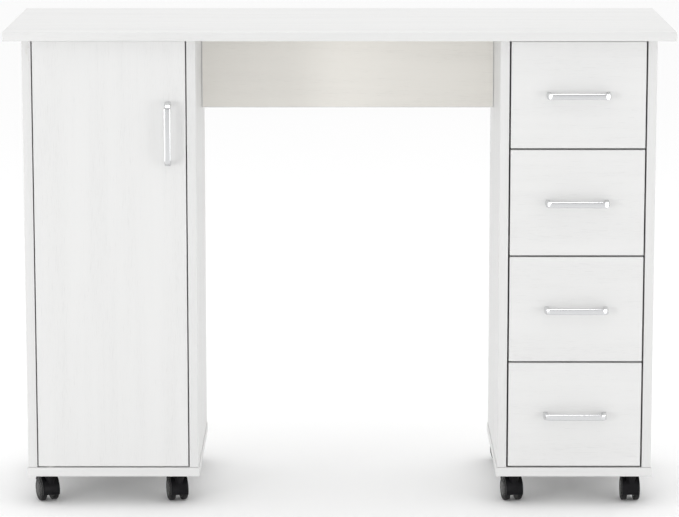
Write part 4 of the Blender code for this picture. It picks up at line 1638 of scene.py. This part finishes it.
@dataclass
class CasterSet:
    """Eight twin-wheel casters.

    Each kind of piece is modelled once, upright at the origin, and copied.
    """

    screws: ScrewBox
    count: int = 8
    wheel_radius: float = 20.0 * MM
    trail: float = 17.0 * MM
    hood_half: float = 14.5 * MM
    web_half: float = 5.4 * MM
    hub_radius: float = 6.5 * MM
    hood_air: float = 1.15 * MM
    hood_sheet: float = 2.0 * MM
    bead: float = 0.6 * MM
    bead_width: float = 1.6 * MM
    bead_foot: float = 2.3 * MM
    web_tuck: float = 0.03
    axle_radius: float = 2.5 * MM
    axle_hole: float = 2.65 * MM
    axle_half: float = 6.0 * MM
    cover_radius: float = 17.25 * MM
    cover_from: float = 14.5 * MM
    pocket_ring: tuple[float, float] = (14.0 * MM, 15.5 * MM)
    pocket_from: float = 15.0 * MM
    pocket_rim: float = 0.25 * MM
    pocket_depth: float = 0.55 * MM
    stem_hole: float = 4.5 * MM
    front_drop: float = math.radians(17)
    rear_rise: float = math.radians(34)
    wheel_steps: int = 64
    faces_per_rib: int = 4
    plate_half: float = 19.0 * MM
    plate_sheet: float = 1.6 * MM
    plate_corner: float = 6.0 * MM
    hole_offset: float = 13.0 * MM

    def build(self) -> None:
        """Models one caster and copies its pieces to all eight places."""
        housing = self._housing()
        wheels = self._wheels()
        plate = self._plate()
        joints = {joint["name"]: joint for joint in FRAME["joints"]}
        for number in range(1, self.count + 1):
            spot = Vector(joints[f"caster_{number}_swivel"]["pos_m"])
            axle = Vector(joints[f"caster_{number}_roll"]["axis"])
            turn = Matrix.Rotation(math.atan2(axle.y, axle.x), 4, "Z")
            ground = Matrix.Translation((spot.x, spot.y, 0)) @ turn
            name = f"caster_{number}"
            housing.copy(f"{name}_hood", ground).finish(
                BLACK_NYLON_FINISH, f"{name}_hood", 30, [f"{name}_housing"]
            )
            wheels.copy(f"{name}_twin_wheels", ground).finish(
                TREAD_FINISH, f"{name}_wheel_pair", 30, [f"{name}_wheels"]
            )
            under = Matrix.Translation(spot)
            plate.copy(f"{name}_plate", under).finish(ZINC_FINISH, "carcass")
            face = spot.z - self.plate_sheet - CLEAR
            corners = [Vector((x, y, 0)) * self.hole_offset for x in (-1, 1) for y in (-1, 1)]
            middle = Vector((spot.x, spot.y, face))
            places = [(middle + corner, Vector((0, 0, -1))) for corner in corners]
            self.screws.set_in(f"{name}_plate_screws", "carcass", places)
        for master in (housing, wheels, plate):
            master.discard()

    def _axle(self) -> Vector:
        """The middle of the axle on the caster that is modelled."""
        return Vector((0, self.trail, self.wheel_radius))

    def _housing(self) -> Workpiece:
        """The hood with a bead along each side, the web between the wheels, the boss and stem."""
        axle = self._axle()
        inside = self.wheel_radius + self.hood_air
        outside = inside + self.hood_sheet
        half, crest = self.hood_half, outside + self.bead
        section = [
            (-half, inside),
            (-half, crest),
            (-half + self.bead_width, crest),
            (-half + self.bead_foot, outside),
            (half - self.bead_foot, outside),
            (half - self.bead_width, crest),
            (half, crest),
            (half, inside),
        ]
        start = math.pi + self.front_drop
        facing = Vector((0, math.cos(start), math.sin(start)))
        points = [axle + Vector((x, 0, 0)) + facing * radius for x, radius in section]
        angle = start - self.rear_rise
        hood = Workpiece.swept("housing_master", points, axle, Vector((1, 0, 0)), angle, 36)

        middle = (inside + outside) / 2
        hood.weld(self._web(start - self.web_tuck, self.rear_rise + self.web_tuck, middle))
        reach = Vector((self.wheel_radius, 0, 0))
        hood.cut(Workpiece.rod("axle_hole", self.axle_hole, axle - reach, axle + reach))
        hood.weld(self._boss())
        hood.round_all(0.35 * MM, 2, 40)
        return hood

    def _web(self, front: float, rear: float, radius: float) -> Workpiece:
        """The plate between the wheels, from the hood down to a round end about the axle.

        Args:
            front: The angle at which it leaves the hood in front.
            rear: The same behind.
            radius: How far out it meets the hood.

        Returns:
            The web.
        """
        axle, tangent = self._axle(), math.acos(self.hub_radius / radius)
        outline = self._arc(axle, radius, front, rear, 30)
        outline += self._arc(axle, self.hub_radius, rear - tangent, front + tangent - math.tau, 8)
        shift = Vector((-self.web_half, 0, 0))
        return Workpiece.plate("web", [point + shift for point in outline], -2 * shift)

    def _boss(self) -> Workpiece:
        """The socket and stem over the hood, with a cone that fades into it."""
        profile = [
            (0.0, 59.2 * MM),
            (3.4 * MM, 59.2 * MM),
            (3.9 * MM, 58.6 * MM),
            (3.9 * MM, 48.6 * MM),
            (7.8 * MM, 48.6 * MM),
            (8.5 * MM, 47.9 * MM),
            (8.5 * MM, 43.2 * MM),
            (8.1 * MM, 41.0 * MM),
            (3.0 * MM, 26.4 * MM),
            (0.0, 26.0 * MM),
        ]
        boss = Workpiece.turned("boss", profile, Vector((0, 0, 0)), Vector((0, 0, 1)), 40)
        reach = self.wheel_radius + self.hood_air + 0.05 * MM
        for sign in (-1, 1):
            near = self._axle() + Vector((sign * (self.web_half + 0.1 * MM), 0, 0))
            boss.cut(Workpiece.rod("room", reach, near, near + Vector((sign * 0.03, 0, 0)), 64))
        return boss

    @staticmethod
    def _arc(centre: Vector, radius: float, start: float, end: float, steps: int) -> list[Vector]:
        """Points on an arc in the upright plane through a centre, both ends included.

        Args:
            centre: The arc's centre.
            radius: Its radius.
            start: Its first angle, from +Y towards +Z.
            end: Its last angle.
            steps: How many steps it is taken in.

        Returns:
            The points.
        """
        angles = [start + (end - start) * step / steps for step in range(steps + 1)]
        return [centre + Vector((0, math.cos(a), math.sin(a))) * radius for a in angles]

    def _wheels(self) -> Workpiece:
        """Two wheels on an axle, with crowned treads, mould lines and ribbed cover discs."""
        profile = [
            (0.0, 6.0),
            (6.0, 6.0),
            (6.2, 6.9),
            (17.2, 6.9),
            (17.9, 6.0),
            (19.3, 6.0),
            (19.85, 6.5),
            (20.0, 7.3),
            (20.0, 10.35),
            (19.9, 10.45),
            (20.0, 10.55),
            (20.0, 13.0),
            (19.8, 14.0),
            (19.3, 14.8),
            (18.5, 15.3),
            (17.8, 15.3),
            (17.5, 14.9),
            (17.2, 14.9),
            (17.0, 15.6),
            (12.4, 16.1),
            (12.0, 15.7),
            (11.6, 16.1),
            (6.6, 16.3),
            (6.3, 16.6),
            (3.0, 16.7),
            (0.0, 16.7),
        ]
        lathe = [(radius * MM, along * MM) for radius, along in profile]
        axle = self._axle()
        pair = []
        for sign in (-1, 1):
            wheel = Workpiece.turned("wheel", lathe, axle, Vector((sign, 0, 0)), self.wheel_steps)
            self._press_pockets(wheel, axle)
            self._dress_wheel(wheel.obj.data, axle)
            pair.append(wheel)
        reach = Vector((self.axle_half, 0, 0))
        pin = Workpiece.rod("axle", self.axle_radius, axle - reach, axle + reach)
        pin.obj.data.materials.append(ZINC_FINISH.material())
        pair[0].gather([pair[1], pin])
        pair[0].obj.name = "wheels_master"
        return pair[0]

    def _press_pockets(self, wheel: Workpiece, axle: Vector) -> None:
        """Presses a ring of shallow pockets into the cover, which leaves ribs between them.

        Args:
            wheel: One of the two wheels.
            axle: The middle of their axle.
        """
        inner, outer = self.pocket_ring

        def in_pocket(centre: Vector, _: Vector) -> bool:
            """Whether a face of the cover's outer ring lies between two ribs."""
            offset = centre - axle
            radius = math.hypot(offset.y, offset.z)
            turn = math.atan2(offset.z, offset.y) / math.tau
            step = int(turn * self.wheel_steps + 2 * self.wheel_steps)
            ringed = inner < radius < outer and abs(offset.x) > self.pocket_from
            return ringed and step % self.faces_per_rib != 0

        with wheel.editing("FACE"):
            wheel.pick_faces(in_pocket)
            bpy.ops.mesh.inset(thickness=self.pocket_rim, depth=-self.pocket_depth)

    def _dress_wheel(self, mesh: bpy.types.Mesh, axle: Vector) -> None:
        """Tread on the rim and inside, and the cover's own finish on the disc."""
        for finish in (TREAD_FINISH, HUB_FINISH):
            mesh.materials.append(finish.material())
        for polygon in mesh.polygons:
            offset = polygon.center - axle
            radius = math.hypot(offset.y, offset.z)
            disc = abs(offset.x) > self.cover_from and radius < self.cover_radius
            polygon.material_index = 1 if disc else 0

    def _plate(self) -> Workpiece:
        """The screwed plate under the board, with a pressed bearing cup, at the origin."""
        half, sheet = self.plate_half, self.plate_sheet
        low, high = (-half, -half, -sheet - CLEAR), (half, half, -CLEAR)
        plate = Workpiece.block("plate_master", low, high)
        plate.round_picked(lambda _, along: abs(along.z) > 0.99, self.plate_corner, 8)
        reach = Vector((0, 0, self.stem_hole))
        plate.cut(Workpiece.rod("stem_hole", self.stem_hole, -reach, reach, 36))
        plate.round_all(0.3 * MM, 2, 40)
        foot = -sheet - CLEAR
        cup = [
            (4.6 * MM, foot - 0.15 * MM),
            (11.0 * MM, foot - 0.15 * MM),
            (11.6 * MM, foot + 0.1 * MM),
            (4.6 * MM, foot + 0.1 * MM),
            (4.6 * MM, foot - 0.15 * MM),
        ]
        plate.gather([Workpiece.turned("cup", cup, Vector((0, 0, 0)), Vector((0, 0, 1)), 40)])
        return plate


# ---------------------------------------------------------------- studio


@dataclass(frozen=True)
class Lamp:
    """A soft lamp. A card is a lamp that shows only where something mirrors it."""

    name: str
    place: Sizes
    width: float
    height: float
    power: float
    card: bool = False

    def hang(self, aim: Vector) -> None:
        """Adds the lamp to the scene, turned towards a point."""
        data = bpy.data.lights.new(self.name, "AREA")
        data.shape = "RECTANGLE" if self.card else "ELLIPSE"
        data.size, data.size_y = self.width, self.height
        data.energy = self.power
        light = bpy.data.objects.new(self.name, data)
        light.location = self.place
        light.rotation_euler = (aim - Vector(self.place)).to_track_quat("-Z", "Y").to_euler()
        light.visible_camera = False
        light.visible_diffuse = not self.card
        bpy.context.scene.collection.objects.link(light)


LAMPS = (
    Lamp("key", (-4.2, -4.6, 0.8), 1.5, 1.5, 66.0),
    Lamp("fill", (3.6, -3.4, 0.3), 1.6, 1.6, 34.0),
    Lamp("top", (0.0, 0.4, 3.4), 2.4, 2.4, 14.0),
    Lamp("left_card", (-1.7, -0.6, 0.37), 1.6, 0.72, 9.0, card=True),
    Lamp("right_card", (1.7, -0.6, 0.37), 1.6, 0.72, 9.0, card=True),
    Lamp("upper_card", (0.0, -1.5, 2.6), 1.5, 1.5, 30.0, card=True),
)


@dataclass(frozen=True)
class Studio:
    """A pale floor, an even white surround, soft lights and a long lens, round the desk's box."""

    distance: float = 5.0
    over_top: float = 0.53
    fill: float = 0.9955
    sensor: float = 36.0
    shift: float = -0.05
    white: float = 1.0
    dimming: float = 0.30
    floor_radius: float = 40.0
    floor_colour: Colour = (0.985, 0.985, 0.985)

    def build(self, low: Vector, high: Vector) -> None:
        """Sets up the whole studio."""
        self._camera(low, high)
        self._floor()
        self._world()
        for lamp in LAMPS:
            lamp.hang(Vector((0, 0, high.z / 2)))
        bpy.context.scene.view_settings.view_transform = "Standard"

    def _camera(self, low: Vector, high: Vector) -> None:
        """A camera before the desk, over its top, whose frame the worktop just fills.

        Args:
            low: The desk's box's low corner.
            high: The high corner.
        """
        data = bpy.data.cameras.new("camera")
        camera = bpy.data.objects.new("camera", data)
        bpy.context.scene.collection.objects.link(camera)
        place = Vector((0, low.y - self.distance, high.z + self.over_top))
        to_edge = math.atan2(high.z - place.z, high.y - place.y)
        to_floor = math.atan2(low.z - place.z, low.y - place.y)
        raised = math.atan(-self.shift * (high.x - low.x) / (self.fill * self.distance))
        pitch = (to_edge + to_floor) / 2 + raised
        camera.location = place
        camera.rotation_euler = (math.pi / 2 + pitch, 0, 0)
        sight = Vector((0, math.cos(pitch), math.sin(pitch)))
        depth = (Vector((0, low.y, high.z)) - place).dot(sight)
        data.sensor_width = self.sensor
        data.lens = self.sensor * self.fill * depth / (high.x - low.x)
        data.shift_y = self.shift
        data.clip_end = 100.0
        bpy.context.scene.camera = camera

    def _floor(self) -> None:
        """A wide pale floor, which hardly shines."""
        set_down()
        bpy.ops.mesh.primitive_circle_add(vertices=64, radius=self.floor_radius, fill_type="NGON")
        floor = bpy.context.view_layer.objects.active
        floor.name = "studio_floor"
        material = bpy.data.materials.new("pale_floor")
        material.use_nodes = True
        shader = material.node_tree.nodes["Principled BSDF"]
        shader.inputs["Base Color"].default_value = (*self.floor_colour, 1.0)
        shader.inputs["Roughness"].default_value = 0.85
        shader.inputs["Specular IOR Level"].default_value = 0.1
        floor.data.materials.append(material)
        floor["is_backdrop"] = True

    def _world(self) -> None:
        """White light from all round, dimmer low down in front, as where the room is open."""
        world = bpy.data.worlds.new("studio")
        world.use_nodes = True
        graph = Graph(world.node_tree)
        parts = graph.node("SeparateXYZ")
        graph.feed(parts.inputs[0], graph.node("TexCoord").outputs["Generated"])
        forward = graph.remap(graph.math("MULTIPLY", parts.outputs["Y"], -1.0), 0.30, 0.80)
        low = graph.remap(parts.outputs["Z"], 0.35, 0.65, 1.0, 0.0)
        seen = graph.math("MULTIPLY", forward, low)
        dimmed = graph.math("MULTIPLY", seen, self.white * self.dimming)
        background = world.node_tree.nodes["Background"]
        background.inputs["Color"].default_value = (1.0, 1.0, 1.0, 1.0)
        graph.feed(background.inputs["Strength"], graph.math("SUBTRACT", self.white, dimmed))
        bpy.context.scene.world = world


# ---------------------------------------------------------------- the desk


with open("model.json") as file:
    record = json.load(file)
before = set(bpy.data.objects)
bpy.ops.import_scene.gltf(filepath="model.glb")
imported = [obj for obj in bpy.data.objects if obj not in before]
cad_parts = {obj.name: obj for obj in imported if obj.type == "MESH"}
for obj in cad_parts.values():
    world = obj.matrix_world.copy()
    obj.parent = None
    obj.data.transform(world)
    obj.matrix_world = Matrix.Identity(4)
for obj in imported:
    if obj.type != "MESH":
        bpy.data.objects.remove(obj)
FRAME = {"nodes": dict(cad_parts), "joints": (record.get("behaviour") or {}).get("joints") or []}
CAD_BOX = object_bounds()


def main() -> None:
    """Builds the desk, piece by piece, and the studio round it."""
    logging.basicConfig(level=logging.INFO, format="%(name)s %(message)s")
    Studio().build(*CAD_BOX)
    screws = ScrewBox(CrossScrew())
    handles = Handles(screws)
    door = Door(handles, screws)

    Board("worktop", "carcass", Axis.X, tools=[door.bush_tool("door_bush_upper")]).finish()
    Carcass("cabinet", screws).build([door.bush_tool("door_bush_lower")])
    Carcass("pedestal", screws).build()
    Shelves().build()
    ModestyPanel().build()
    door.build()
    for number in (1, 2, 3, 4):
        Drawer(number, handles, screws).build()
    CasterSet(screws).build()
    handles.close()
    screws.close()

    bpy.context.view_layer.update()


if __name__ == "__main__":
    main()
